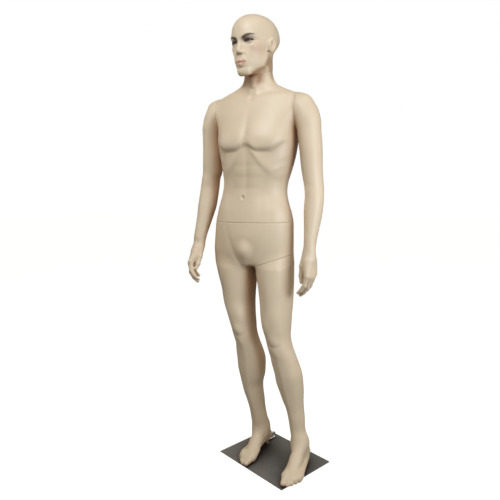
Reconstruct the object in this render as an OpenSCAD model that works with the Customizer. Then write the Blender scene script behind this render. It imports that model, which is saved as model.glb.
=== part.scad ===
// Standing male display mannequin on a thin steel plate.
// Hollow plastic mouldings meet at flat seams: waist, left thigh, neck,
// both shoulders and both wrists. Each seam holds a plug and a socket.
// Origin: centre of the plate, on the floor. The figure faces -Y, +X is its left.

/* [Base plate] */
// Length of the steel plate
plate_l = 390; // [370:5:430]
// Depth of the steel plate
plate_w = 294; // [284:2:320]
// Thickness of the steel plate
plate_t = 2; // [1.5:0.25:2.25]
// Corner radius of the plate
plate_r = 3; // [1:1:10]
// Turn of the plate against the way the figure faces, degrees
plate_turn = -23; // [-26:1:-20]

/* [Heel rod] */
// Diameter of the bent rod
rod_d = 8; // [7:0.5:8.5]
// Centreline radius of the U bend
bend_r = 12; // [11:0.5:13]
// Distance from the heel to the centre of the bend
rod_back = 26; // [20:1:32]

/* [Shells] */
// Wall of the hollow mouldings
wall = 3; // [2.5:0.25:3.5]
// Thickness of the closed wall behind each seam face
end_wall = 7; // [6.5:0.5:9]
// Width of the visible seam gap
seam_gap = 0.6; // [0.4:0.1:0.8]
// Points round each body ring
ring_n = 24; // [20:4:28]

/* [Seams] */
// Height of the waist seam
waist_z = 1040; // [1034:1:1046]
// Distance from the body's centre plane to each shoulder seam
shoulder_half = 172; // [170:0.5:173]
// Height of the shoulder axis
shoulder_z = 1490; // [1488:1:1492]
// Forward lean of the neck axis, degrees
neck_lean = 15; // [13:1:17]
// Turn of the head towards the right shoulder, degrees
head_turn = 22; // [0:1:40]

/* [Connectors] */
// Radial clearance of a plug in its socket
fit_gap = 0.05; // [0.03:0.01:0.08]
// Thickness of every connector plate
disc_t = 3.4; // [3:0.1:3.6]
// Radius of the waist spigot
waist_r = 30; // [28:1:31]
// Radius of the thigh spigot
thigh_r = 22; // [20:1:23]
// Radius of the neck spigot
neck_r = 20; // [18:1:21]
// Radius of the shoulder spigots
shoulder_r = 14; // [13:0.5:15]
// Radius of the wrist pegs
wrist_r = 10; // [9:0.5:10]

/* [Hidden] */

skin_color = [0.83, 0.70, 0.58];
steel_color = [0.36, 0.37, 0.38];
bright_color = [0.80, 0.79, 0.76];
connector_color = [0.88, 0.87, 0.84];

// ---------------------------------------------------------------- seams
// A seam: point on the socket's face, direction out of the socket's part,
// disc radius, spigot radius, socket tube wall, screws, tube length, spigot length.
// The plug's part starts one seam_gap further on.
body_x = -65;                        // centre plane of the chest
shoulder_y = 20;
waist = [[-82, 10, waist_z], [0, 0, 1], 62, waist_r, 9, 4, 48, 44];
thigh = [[6, 5, 878], [0.319, 0, -0.948], 48, thigh_r, 8, 4, 38, 34];
neck = [[-60, 8, 1638], [0, -sin(neck_lean), cos(neck_lean)], 42, neck_r, 6, 4, 36, 32];
left_shoulder = [[body_x + shoulder_half, shoulder_y, shoulder_z], [1, 0, 0],
    36, shoulder_r, 10, 3, 9, 14.6];
right_shoulder = [[body_x - shoulder_half, shoulder_y, shoulder_z], [-1, 0, 0],
    36, shoulder_r, 10, 3, 9, 14.6];
left_wrist = [[175, -18, 958], [0, -0.249, -0.968], 17, wrist_r, 3, 0, 24, 20];
right_wrist = [[-310.6, -61, 968], [-0.067, -0.346, -0.936], 17, wrist_r, 3, 0, 24, 20];
torso_sockets = [neck, left_shoulder, right_shoulder];

function face_point(seam) = seam[0];
function direction(seam) = seam[1];
function disc_r(seam) = seam[2];
function spigot_r(seam) = seam[3];
function tube_r(seam) = seam[3] + seam[4];
function screw_count(seam) = seam[5];
function tube_l(seam) = seam[6];
function spigot_l(seam) = seam[7];

// turns +Z to a direction and moves the origin to a point
module aim(point, dir) translate(point)
    rotate([0, acos(dir[2] / norm(dir)), atan2(dir[1], dir[0])]) children();
// everything further than offset beyond the plane through point, square to dir
module beyond(point, dir, offset = 0) aim(point, dir)
    translate([-600, -600, offset]) cube(1200);

// Local frames of the two faces of a seam: origin on the face, +Z out of the part
module at_socket(seam) aim(face_point(seam), direction(seam)) children();
module at_plug(seam)
    aim(face_point(seam) + direction(seam) * seam_gap, -direction(seam)) children();

// everything outside the seam face of a part, starting depth inside it
module past_socket_face(seam, depth = 0) beyond(face_point(seam), direction(seam), -depth);
module past_plug_face(seam, depth = 0)
    beyond(face_point(seam), -direction(seam), -seam_gap - depth);

// ---------------------------------------------------------------- lofts
curve_steps = 2;                     // rings per station on the outer skin
cavity_sides = 16;
foot_power = 2.3;
foot_sides = 16;
foot_cavity_sides = 12;
least_half = 0.8;                    // smallest half size of an inset ring

// Catmull-Rom curve through the rows of a table, ends held
function row(table, i) = table[max(0, min(len(table) - 1, i))];
function spline(table, place) = let (i = floor(place), part = place - i,
    before = row(table, i - 1), start = row(table, i),
    end = row(table, i + 1), after = row(table, i + 2))
    start + 0.5 * part * ((end - before)
    + part * (2 * before - 5 * start + 4 * end - after
    + part * (3 * (start - end) + after - before)));
function smoothed(table) = [for (k = [0:(len(table) - 1) * curve_steps])
    spline(table, k / curve_steps)];
// the outer skin is smoothed, the cavity inside it is not
function rows_for(table, inset) = inset > 0 ? table : smoothed(table);

// superellipse: a power of 2 is an ellipse, more is squarer
function super(v, power) = sign(v) * pow(abs(v), 2 / power);
function inset_half(half, inset) = max(least_half, half - inset);
// scales a place along a table so that both ends come in by inset
function inset_place(place, table, inset) =
    let (low = table[0][0], high = table[len(table) - 1][0])
    low + inset + (place - low) * (high - low - 2 * inset) / (high - low);

// level ring of a station [z, x centre, half width, y centre, half depth]
function level_ring(station, table, power, sides, inset) = [for (j = [0:sides - 1])
    let (angle = 360 * j / sides)
    [station[1] + inset_half(station[2], inset) * super(cos(angle), power),
     station[3] + inset_half(station[4], inset) * super(sin(angle), power),
     inset_place(station[0], table, inset)]];
// upright ring of a foot station, measured along dir from the point heel
function upright_ring(station, table, heel, dir, sides, inset) = [for (j = [0:sides - 1])
    let (angle = 360 * j / sides,
         along = inset_place(station[0], table, inset),
         side = station[1] + inset_half(station[2], inset) * super(cos(angle), foot_power),
         z = (station[3] + station[4]) / 2
             + inset_half((station[4] - station[3]) / 2, inset) * super(sin(angle), foot_power))
    [heel[0] + along * dir[0] - side * dir[1],
     heel[1] + along * dir[1] + side * dir[0],
     z]];

// closed solid over a list of rings with equal point counts
module skin(rings) {
    count = len(rings);
    sides = len(rings[0]);
    polyhedron(points = [for (ring = rings) for (point = ring) point],
        faces = concat([[for (j = [0:sides - 1]) j]],
            [[for (j = [0:sides - 1]) count * sides - 1 - j]],
            [for (i = [0:count - 2]) for (j = [0:sides - 1]) let (k = (j + 1) % sides)
                [i * sides + j, (i + 1) * sides + j, (i + 1) * sides + k]],
            [for (i = [0:count - 2]) for (j = [0:sides - 1]) let (k = (j + 1) % sides)
                [i * sides + j, (i + 1) * sides + k, i * sides + k]]),
        convexity = 6);
}
// inset = 0 gives the outer skin; inset > 0 gives the coarser cavity inside it
module loft(table, power, sides, inset = 0)
    skin([for (station = rows_for(table, inset))
        level_ring(station, table, power, inset > 0 ? cavity_sides : sides, inset)]);
module foot(heel, dir, inset)
    skin([for (station = rows_for(foot_table, inset))
        upright_ring(station, foot_table, heel, dir,
            inset > 0 ? foot_cavity_sides : foot_sides, inset)]);

// ---------------------------------------------------------------- stations
// Bottom to top: z, x centre, half width, y centre, half depth
pelvis_table = [[846, -88, 168, 12, 88], [880, -89, 175, 13, 104], [920, -90, 174, 15, 112],
    [960, -87, 172, 12, 114], [1000, -84, 170, 10, 112], [1040, -82, 168, 10, 108],
    [1060, -81, 164, 11, 105]];
torso_table = [[1020, -82, 170, 10, 110], [1040, -82, 168, 10, 108], [1080, -81, 159, 12, 102],
    [1120, -82, 148, 15, 98], [1160, -81, 140, 17, 97], [1200, -76, 140, 15, 99],
    [1240, -70, 147, 12, 104], [1280, -67, 156, 10, 110], [1320, -66, 164, 10, 117],
    [1360, -66, 172, 12, 121], [1400, -65, 180, 15, 118], [1440, -65, 187, 18, 110],
    [1480, -65, 191, 20, 98], [1515, -65, 187, 22, 80], [1543, -64, 176, 23, 62],
    [1560, -62, 146, 24, 57], [1577, -60, 102, 25, 57], [1594, -59, 73, 24, 58],
    [1620, -58, 61, 16, 58], [1660, -58, 59, 6, 58], [1690, -58, 58, -2, 58]];
right_leg_table = [[90, -89, 36, 60, 40], [120, -89, 34, 56, 37], [160, -92, 33, 48, 37],
    [200, -95, 33, 40, 41], [240, -99, 36, 34, 47], [280, -104, 42, 28, 53],
    [320, -107, 46, 24, 58], [360, -106, 53, 18, 62], [400, -107, 58, 10, 62],
    [440, -105, 60, 2, 60], [480, -108, 57, -6, 58], [520, -112, 51, -11, 62],
    [560, -121, 50, -12, 69], [600, -131, 51, -9, 77], [650, -143, 54, -4, 83],
    [700, -154, 63, 3, 88], [760, -158, 70, 6, 93], [820, -164, 83, 9, 95],
    [880, -168, 92, 12, 92]];
left_leg_table = [[90, 120, 36, 2, 40], [120, 118, 34, 0, 37], [160, 109, 33, 6, 37],
    [200, 104, 35, 9, 42], [240, 97, 37, 10, 47], [280, 89, 44, 8, 53],
    [320, 83, 51, 6, 58], [360, 76, 56, 2, 62], [400, 72, 57, -4, 62],
    [440, 62, 56, -10, 60], [480, 53, 53, -16, 58], [520, 41, 50, -19, 63],
    [560, 32, 50, -17, 69], [600, 26, 56, -12, 78], [650, 21, 62, -7, 83],
    [700, 19, 66, 0, 88], [760, 16, 71, 5, 92], [820, 11, 77, 8, 94],
    [880, 6, 80, 12, 96], [925, 5, 80, 13, 98]];
right_arm_table = [[930, -313, 26, -75, 29], [950, -312, 25, -68, 29], [980, -310, 28, -58, 31],
    [1020, -307, 32, -42, 35], [1060, -302, 35, -26, 38], [1100, -299, 39, -10, 41],
    [1140, -297, 41, 4, 43], [1180, -296, 40, 14, 45], [1220, -290, 40, 22, 46],
    [1260, -283, 42, 25, 47], [1320, -277, 43, 22, 49], [1360, -274, 43.5, 21, 52],
    [1400, -270, 46, 20, 55], [1440, -266, 49, 20, 58], [1480, -257, 51, 20, 57],
    [1505, -249, 48, 20, 51], [1527, -244, 38, 20, 40], [1541, -241, 24, 20, 25],
    [1548, -240, 8, 20, 9]];
left_arm_table = [[920, 174, 27, -27, 29], [950, 175, 25, -20, 29], [980, 174, 27, -12, 31],
    [1020, 175, 31, -2, 35], [1060, 175, 35, 7, 39], [1100, 175, 37, 14, 42],
    [1140, 176, 36, 20, 44], [1180, 174, 38, 24, 46], [1220, 169, 40, 26, 48],
    [1260, 165, 42, 25, 49], [1320, 163, 44, 22, 51], [1360, 157, 47, 21, 53],
    [1400, 151, 50, 20, 55], [1440, 144, 56, 20, 58], [1480, 132, 58, 20, 57],
    [1505, 122, 54, 20, 51], [1527, 114, 42, 20, 40], [1541, 110, 27, 20, 25],
    [1548, 109, 9, 20, 9]];
right_hand_table = [[775, -318, 8, -95, 20], [800, -327, 11, -93, 31], [825, -332, 12, -91, 35],
    [850, -333, 14, -87, 40], [880, -327, 16, -82, 40], [910, -318, 19, -77, 35],
    [940, -312, 23, -70, 30], [985, -310, 26, -56, 31]];
right_thumb_table = [[812, -318, 7, -126, 8], [840, -317, 10, -124, 11],
    [870, -317, 12, -113, 14], [905, -316, 13, -92, 18]];
left_hand_table = [[742, 143, 8, -52, 20], [768, 155, 11, -50, 30], [795, 165, 13, -46, 35],
    [830, 170, 15, -41, 40], [865, 170, 17, -35, 40], [900, 171, 21, -30, 35],
    [930, 174, 24, -25, 30], [975, 174, 27, -13, 31]];
left_thumb_table = [[786, 150, 8, -76, 9], [815, 152, 11, -75, 12],
    [845, 157, 13, -66, 15], [885, 165, 14, -46, 19]];
// same columns, but x and y are from head_origin, before the head is turned
head_table = [[1616, 0, 16, -66, 16], [1622, 0, 30, -60, 29], [1636, 0, 47, -42, 52],
    [1655, 0, 59, -22, 78], [1680, 0, 67, -12, 92], [1710, 0, 72, -6, 101],
    [1740, 0, 77, -2, 106], [1772, 0, 80, 0, 108], [1800, 0, 76, 0, 102],
    [1822, 0, 65, 1, 86], [1838, 0, 47, 2, 62], [1847, 0, 26, 3, 35],
    [1850, 0, 8, 3, 11]];
head_origin = [-62, -8, 0];
// both feet, heel to toe: distance from the heel, sideways, half width, underside, top
foot_table = [[0, 0, 12, 32, 62], [4, 0, 20, 24, 74], [18, 0, 30, 17, 94],
    [62, 0, 34, 14, 104], [112, 1, 36, 9, 90], [160, 2, 41, 5, 64],
    [200, 3, 45, 3.4, 46], [232, 2, 43, 3.4, 33], [250, 0, 32, 4.4, 26], [258, -2, 16, 8, 20]];
right_heel = [-73, 124, 0];
right_foot_dir = [-0.027, -1, 0];
left_heel = [128, 55, 0];
left_foot_dir = [0.055, -0.9985, 0];

// ---------------------------------------------------------------- connectors
screw_r = 1.7;
screw_l = 9;
screw_inset = 7;                     // from the disc's rim to the screw circle
plug_room = 1;                       // widening of the hole behind a plug's disc
key_w = 8;
key_slot_w = 8.3;
lug_w = 8;
lug_t = 4;
lug_reach = 6;                       // beyond the shoulder spigot, each side
lug_slot = [9.6, 8.6, 14];

module screw_ring(seam) for (i = [0:screw_count(seam) - 1])
    rotate(360 * (i + 0.5) / screw_count(seam))
        translate([disc_r(seam) - screw_inset, 0, 0]) children();
module screw() {
    translate([0, 0, -1.9]) cylinder(r = 3.2, h = 1.8, $fn = 24);
    translate([0, 0, -screw_l]) cylinder(r = screw_r, h = screw_l - 1, $fn = 24);
}
// holes in a connector disc, each with a sunk head recess
module screw_holes(seam) screw_ring(seam) {
    translate([0, 0, -2]) cylinder(r = 3.4, h = 3, $fn = 24);
    translate([0, 0, -20]) cylinder(r = screw_r + 0.2, h = 20, $fn = 24);
}
module socket_screws(seam) at_socket(seam) screw_ring(seam) screw();
module plug_screws(seam) at_plug(seam) screw_ring(seam) screw();

// room for a connector in a shell's end wall
module seat(seam, hole_r) {
    translate([0, 0, -disc_t - 0.2]) cylinder(r = disc_r(seam) + 0.4, h = 6, $fn = 48);
    translate([0, 0, -40]) cylinder(r = hole_r + 0.4, h = 42, $fn = 40);
    if (screw_count(seam) > 0) screw_ring(seam) translate([0, 0, -40])
        cylinder(r = screw_r + 0.3, h = 41, $fn = 12);
}
module socket_seat(seam) at_socket(seam) seat(seam, tube_r(seam));
module plug_seat(seam) at_plug(seam) seat(seam, spigot_r(seam) + plug_room);

module disc(seam) translate([0, 0, -disc_t]) cylinder(r = disc_r(seam), h = disc_t, $fn = 64);
module socket(seam) difference() {
    length = tube_l(seam);
    union() {
        disc(seam);
        translate([0, 0, -length]) cylinder(r = tube_r(seam), h = length - 1, $fn = 64);
    }
    translate([0, 0, -length - 1]) cylinder(r = spigot_r(seam), h = length + 2, $fn = 64);
    if (screw_count(seam) > 0) screw_holes(seam);
}
module plug(seam) difference() {
    union() {
        disc(seam);
        translate([0, 0, -disc_t + 0.5])
            cylinder(r = spigot_r(seam) - fit_gap, h = spigot_l(seam) + disc_t - 0.5, $fn = 64);
    }
    if (screw_count(seam) > 0) screw_holes(seam);
}

// two bars on opposite sides of a spigot
module keys(radius, width, length) for (angle = [0, 180]) rotate(angle)
    translate([radius - 3, -width / 2, 0]) cube([6.5, width, length]);
module keyed_socket(seam) difference() {
    socket(seam);
    translate([0, 0, -tube_l(seam) - 2]) keys(spigot_r(seam), key_slot_w, tube_l(seam) + 4);
}
// the cylinder of height trim_h rounds the outer faces of the keys
module keyed_plug(seam, trim_h) {
    plug(seam);
    intersection() {
        keys(spigot_r(seam) - 0.1, key_w, spigot_l(seam) - 2);
        cylinder(r = spigot_r(seam) + 3, h = trim_h, $fn = 48);
    }
}

// the slots let the lugs of the plug in at one arm angle only
module shoulder_socket(seam, slot_angle) at_socket(seam) difference() {
    socket(seam);
    for (angle = [slot_angle, slot_angle + 180]) rotate(angle)
        translate([shoulder_r - 3, -lug_slot[1] / 2, -12]) cube(lug_slot);
}
module shoulder_plug(seam) at_plug(seam) {
    plug(seam);
    translate([-shoulder_r - lug_reach, -lug_w / 2, spigot_l(seam) - lug_t])
        cube([2 * (shoulder_r + lug_reach), lug_w, lug_t]);
}

// ---------------------------------------------------------------- base
rod_r = rod_d / 2;
rod_lift = 0.1;                      // gap between the plate and the rod or clip
rod_low_z = plate_t + rod_lift + rod_r;
rod_top_z = rod_low_z + 2 * bend_r;
rod_top_reach = 38;                  // of the upper leg, forward of heel_point
rod_low_reach = 46;                  // of the lower leg, forward of heel_point
heel_point = [-73, 120, rod_top_z];
rod_dir = [0.3907, 0.9205, 0];       // backwards out of the heel
rod_turn = atan2(rod_dir[1], rod_dir[0]);
clip_point = heel_point - 22 * rod_dir;
clip_l = 14;                         // along the rod
clip_w = 34;
clip_t = 2.4;
clip_hole_y = 12;
clip_bore_r = rod_r + 0.1;

module plate_shape() {
    square([plate_l - 2 * plate_r, plate_w], center = true);
    square([plate_l, plate_w - 2 * plate_r], center = true);
    for (x = [-1, 1], y = [-1, 1])
        translate([x * (plate_l / 2 - plate_r), y * (plate_w / 2 - plate_r)])
            circle(r = plate_r, $fn = 24);
}
// frame of the clip: origin on top of the plate, +X along the rod
module at_clip() translate([clip_point[0], clip_point[1], plate_t]) rotate(rod_turn) children();
module at_clip_holes(z) for (y = [-1, 1]) translate([0, clip_hole_y * y, z]) children();

module base_plate() color(steel_color) difference() {
    rotate(plate_turn) linear_extrude(plate_t) plate_shape();
    at_clip() at_clip_holes(-5) cylinder(r = 2.05, h = 10, $fn = 24);
}
module heel_rod() color(bright_color) {
    bend = heel_point + rod_back * rod_dir;
    translate([bend[0], bend[1], 0]) rotate(rod_turn) {
        for (leg = [[rod_top_z, rod_top_reach], [rod_low_z, rod_low_reach]])
            translate([0, 0, leg[0]]) rotate([0, -90, 0])
                cylinder(r = rod_r, h = rod_back + leg[1], $fn = 32);
        translate([0, 0, rod_low_z + bend_r]) rotate([90, 0, 0]) rotate(-90)
            rotate_extrude(angle = 180, $fn = 64)
                translate([bend_r, 0]) circle(r = rod_r, $fn = 32);
    }
}
// saddle over the lower leg of the rod, open underneath
module rod_clip() color(bright_color) at_clip() difference() {
    union() {
        translate([-clip_l / 2, -clip_w / 2, rod_lift]) cube([clip_l, clip_w, clip_t]);
        translate([-clip_l / 2, 0, rod_r + rod_lift]) rotate([0, 90, 0])
            cylinder(r = rod_r + 1.7, h = clip_l, $fn = 40);
    }
    translate([-clip_l / 2 - 1, 0, rod_r + rod_lift]) rotate([0, 90, 0])
        cylinder(r = clip_bore_r, h = clip_l + 2, $fn = 40);
    translate([-clip_l / 2 - 1, -10, rod_lift - 10]) cube([clip_l + 2, 20, 10]);
    translate([-clip_l / 2 - 1, -clip_bore_r, -1])
        cube([clip_l + 2, 2 * clip_bore_r, rod_r + 1]);
    at_clip_holes(-1) cylinder(r = 2.2, h = 10, $fn = 24);
}
module clip_screws() color(bright_color) at_clip() {
    at_clip_holes(rod_lift + clip_t + 0.1) cylinder(r = 3.6, h = 2, $fn = 24);
    at_clip_holes(-plate_t + 0.2) cylinder(r = 1.95, h = 3.2 + plate_t, $fn = 24);
}

// ---------------------------------------------------------------- lower body
split_x = -74;                       // plane between the thighs
bush_r = 8;
bush_l = 40;
bush_depth = 2;                      // from heel_point to the bush's near end
bush_end = bush_depth + bush_l;

// frame of the rod's hole in the right heel: +Z forward into the foot
module at_heel() aim(heel_point, -rod_dir) children();
// room of the left leg, drawn in by offset from the seam and the split plane
module below_thigh(offset = 0) intersection() {
    beyond(face_point(thigh), direction(thigh), offset);
    translate([split_x + offset, -400, -10]) cube([500, 800, 1200]);
}
module lower_solid(inset) {
    loft(pelvis_table, 2.4, ring_n, inset);
    loft(right_leg_table, 2.1, ring_n, inset);
    foot(right_heel, right_foot_dir, inset);
}
// resize([0, 0, 0]), here and on the other shells, leaves the size as it is
module lower_body_shell() color(skin_color) resize([0, 0, 0]) difference() {
    lower_solid(0);
    past_socket_face(waist);
    below_thigh();
    difference() {
        lower_solid(wall);
        past_socket_face(waist, end_wall);
        below_thigh(-end_wall);
        // solid boss round the bush
        at_heel() translate([0, 0, -20]) cylinder(r = 12, h = 20 + bush_end + 4, $fn = 24);
    }
    socket_seat(waist);
    socket_seat(thigh);
    at_heel() translate([0, 0, -20])
        cylinder(r = bush_r + 0.4, h = 20 + bush_end + 0.6, $fn = 32);
}
module heel_bush() color(connector_color) at_heel() translate([0, 0, bush_depth]) difference() {
    cylinder(r = bush_r, h = bush_l, $fn = 40);
    translate([0, 0, -1]) cylinder(r = rod_r + fit_gap, h = bush_l + 2, $fn = 40);
}
module waist_socket() color(connector_color) at_socket(waist) keyed_socket(waist);
module thigh_socket() color(connector_color) at_socket(thigh) keyed_socket(thigh);
module lower_body_screws() color(bright_color) {
    socket_screws(waist);
    socket_screws(thigh);
}

// ---------------------------------------------------------------- left leg
module left_solid(inset) {
    loft(left_leg_table, 2.1, ring_n, inset);
    foot(left_heel, left_foot_dir, inset);
}
module left_leg_shell() color(skin_color) resize([0, 0, 0]) difference() {
    intersection() {
        left_solid(0);
        below_thigh(seam_gap);
    }
    intersection() {
        left_solid(wall);
        below_thigh(seam_gap + end_wall);
    }
    plug_seat(thigh);
}
module thigh_plug() color(connector_color) at_plug(thigh) keyed_plug(thigh, 40);
module left_leg_screws() color(bright_color) plug_screws(thigh);

// ---------------------------------------------------------------- torso
module torso_shell() color(skin_color) resize([0, 0, 0]) difference() {
    loft(torso_table, 2.3, ring_n);
    past_plug_face(waist);
    for (seam = torso_sockets) past_socket_face(seam);
    difference() {
        loft(torso_table, 2.3, ring_n, wall);
        past_plug_face(waist, end_wall);
        for (seam = torso_sockets) past_socket_face(seam, end_wall);
    }
    plug_seat(waist);
    for (seam = torso_sockets) socket_seat(seam);
}
module waist_plug() color(connector_color) at_plug(waist) keyed_plug(waist, 60);
module neck_socket() color(connector_color) at_socket(neck) socket(neck);
module left_shoulder_socket() color(connector_color) shoulder_socket(left_shoulder, 45);
module right_shoulder_socket() color(connector_color) shoulder_socket(right_shoulder, -45);
module torso_screws() color(bright_color) {
    plug_screws(waist);
    for (seam = torso_sockets) socket_screws(seam);
}

// ---------------------------------------------------------------- head
module head_solid(inset) translate(head_origin) rotate(-head_turn)
    loft(head_table, 2.15, ring_n, inset);
module head_shell() color(skin_color) resize([0, 0, 0]) difference() {
    head_solid(0);
    past_plug_face(neck);
    difference() {
        head_solid(wall);
        past_plug_face(neck, end_wall);
    }
    plug_seat(neck);
}
module neck_plug() color(connector_color) at_plug(neck) plug(neck);
module head_screws() color(bright_color) plug_screws(neck);

// ---------------------------------------------------------------- arms
module arm(table, shoulder, wrist) difference() {
    loft(table, 2.1, 20);
    past_plug_face(shoulder);
    past_socket_face(wrist);
    difference() {
        loft(table, 2.1, 20, wall);
        past_plug_face(shoulder, end_wall);
        past_socket_face(wrist, end_wall);
    }
    plug_seat(shoulder);
    socket_seat(wrist);
}
module left_arm_shell() color(skin_color) resize([0, 0, 0])
    arm(left_arm_table, left_shoulder, left_wrist);
module right_arm_shell() color(skin_color) resize([0, 0, 0])
    arm(right_arm_table, right_shoulder, right_wrist);
module left_shoulder_plug() color(connector_color) shoulder_plug(left_shoulder);
module right_shoulder_plug() color(connector_color) shoulder_plug(right_shoulder);
module left_arm_screws() color(bright_color) plug_screws(left_shoulder);
module right_arm_screws() color(bright_color) plug_screws(right_shoulder);
module left_wrist_bush() color(connector_color) at_socket(left_wrist) socket(left_wrist);
module right_wrist_bush() color(connector_color) at_socket(right_wrist) socket(right_wrist);

// ---------------------------------------------------------------- hands
hand_wall = 5;

// the thumb and everything below solid_z are solid
module hand(table, thumb_table, wrist, solid_z) difference() {
    union() {
        loft(table, 2.3, 16);
        loft(thumb_table, 2, 12);
    }
    past_plug_face(wrist);
    difference() {
        loft(table, 2.3, 16, hand_wall);
        past_plug_face(wrist, end_wall);
        translate([-500, -500, 0]) cube([1000, 1000, solid_z]);
    }
    plug_seat(wrist);
}
module left_hand_shell() color(skin_color) resize([0, 0, 0])
    hand(left_hand_table, left_thumb_table, left_wrist, 835);
module right_hand_shell() color(skin_color) resize([0, 0, 0])
    hand(right_hand_table, right_thumb_table, right_wrist, 865);
module left_wrist_peg() color(connector_color) at_plug(left_wrist) plug(left_wrist);
module right_wrist_peg() color(connector_color) at_plug(right_wrist) plug(right_wrist);

base_plate();
heel_rod();
rod_clip();
clip_screws();
lower_body_shell();
heel_bush();
waist_socket();
thigh_socket();
lower_body_screws();
left_leg_shell();
thigh_plug();
left_leg_screws();
torso_shell();
waist_plug();
neck_socket();
left_shoulder_socket();
right_shoulder_socket();
torso_screws();
head_shell();
neck_plug();
head_screws();
left_arm_shell();
left_shoulder_plug();
left_wrist_bush();
left_arm_screws();
right_arm_shell();
right_shoulder_plug();
right_wrist_bush();
right_arm_screws();
left_hand_shell();
left_wrist_peg();
right_hand_shell();
right_wrist_peg();
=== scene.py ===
import bpy, bmesh, math, time
import numpy as np
from mathutils import Vector, Matrix


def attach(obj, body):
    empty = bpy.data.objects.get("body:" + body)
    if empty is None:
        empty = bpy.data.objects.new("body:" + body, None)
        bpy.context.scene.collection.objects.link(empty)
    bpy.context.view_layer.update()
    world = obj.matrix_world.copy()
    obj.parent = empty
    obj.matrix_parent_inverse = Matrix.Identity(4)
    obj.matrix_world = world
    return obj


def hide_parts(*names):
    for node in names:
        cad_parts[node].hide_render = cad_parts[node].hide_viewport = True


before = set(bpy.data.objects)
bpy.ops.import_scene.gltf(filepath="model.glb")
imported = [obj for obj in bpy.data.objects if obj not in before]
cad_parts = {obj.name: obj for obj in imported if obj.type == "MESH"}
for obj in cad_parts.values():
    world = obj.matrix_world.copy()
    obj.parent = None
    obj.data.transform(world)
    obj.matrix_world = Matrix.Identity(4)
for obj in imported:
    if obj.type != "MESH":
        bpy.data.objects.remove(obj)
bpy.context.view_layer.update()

T0 = time.time()
MM = 0.001


def say(*a):
    print("[scene %.1fs]" % (time.time() - T0), *a, flush=True)


# ------------------------------------------------------------------ fields
# All field maths is in millimetres, in the CAD frame. Negative is inside.
def A(*v):
    return np.array(v, float)


def unit(v):
    v = np.array(v, float)
    return v / np.linalg.norm(v)


def smin(a, b, k):
    h = np.clip(0.5 + 0.5 * (b - a) / k, 0, 1)
    return b + (a - b) * h - k * h * (1 - h)


def smax(a, b, k):
    return -smin(-a, -b, k)


def ss(a, b, x):
    t = np.clip((x - a) / (b - a), 0, 1)
    return t * t * (3 - 2 * t)


def sig(x):
    return 1 / (1 + np.exp(-np.clip(x, -30, 30)))


def band(a, b, x, w=12):
    return sig((x - a) / w) * sig((b - x) / w)


def g1(x, c, w):
    return np.exp(-((x - c) / w) ** 2)


def g2(x, y, c, w):
    return np.exp(-((x - c[0]) / w[0]) ** 2 - ((y - c[1]) / w[1]) ** 2)


def g3(P, c, w):
    return np.exp(-(((P - A(*c)) / A(*w)) ** 2).sum(1))


def cone(P, a, b, ra, rb):
    a = A(*a); b = A(*b)
    ba = b - a
    t = np.clip(((P - a) @ ba) / (ba @ ba), 0, 1)
    return np.linalg.norm(P - a - t[:, None] * ba, axis=1) - (ra + t * (rb - ra))


def ball(P, c, r):
    return np.linalg.norm(P - A(*c), axis=1) - r


def ell(P, c, r, R=None):
    q = P - A(*c)
    if R is not None:
        q = q @ R
    r = A(*r)
    k0 = np.linalg.norm(q / r, axis=1)
    k1 = np.linalg.norm(q / (r * r), axis=1) + 1e-9
    return k0 * (k0 - 1) / k1


def segd(x, y, a, b):
    "distance in a plane from a line segment, and the place along it"
    bx, by = b[0] - a[0], b[1] - a[1]
    t = np.clip(((x - a[0]) * bx + (y - a[1]) * by) / (bx * bx + by * by), 0, 1)
    return np.hypot(x - a[0] - t * bx, y - a[1] - t * by), t


class Loft:
    "rows: z, x centre, half width, front y, back y, roundness"

    def __init__(self, rows):
        T = np.array(rows, float)
        n = len(T)
        out = []
        for i in range(n - 1):
            p0, p1, p2, p3 = T[max(i - 1, 0)], T[i], T[i + 1], T[min(i + 2, n - 1)]
            for k in range(16):
                f = k / 16
                out.append(p1 + 0.5 * f * ((p2 - p0) + f * (2 * p0 - 5 * p1 + 4 * p2 - p3
                                                          + f * (3 * (p1 - p2) + p3 - p0))))
        out.append(T[-1])
        S = np.array(out)
        self.z = S[:, 0]
        self.S = S

    def at(self, z):
        return [np.interp(z, self.z, self.S[:, k]) for k in range(1, 6)]

    def __call__(self, P):
        xc, a, yf, yb, n = self.at(P[:, 2])
        yc = yf + (yb - yf) * 0.5
        dx = P[:, 0] - xc
        dy = P[:, 1] - yc
        b = (yb - yf) * 0.5
        u = np.abs(dx) / a + 1e-6
        v = np.abs(dy) / b + 1e-6
        F = (u ** n + v ** n) ** (1 / n)
        g = np.sqrt((u ** (n - 1) / a) ** 2 + (v ** (n - 1) / b) ** 2) * F ** (1 - n)
        return (F - 1) / np.maximum(g, 1e-4)


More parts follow.
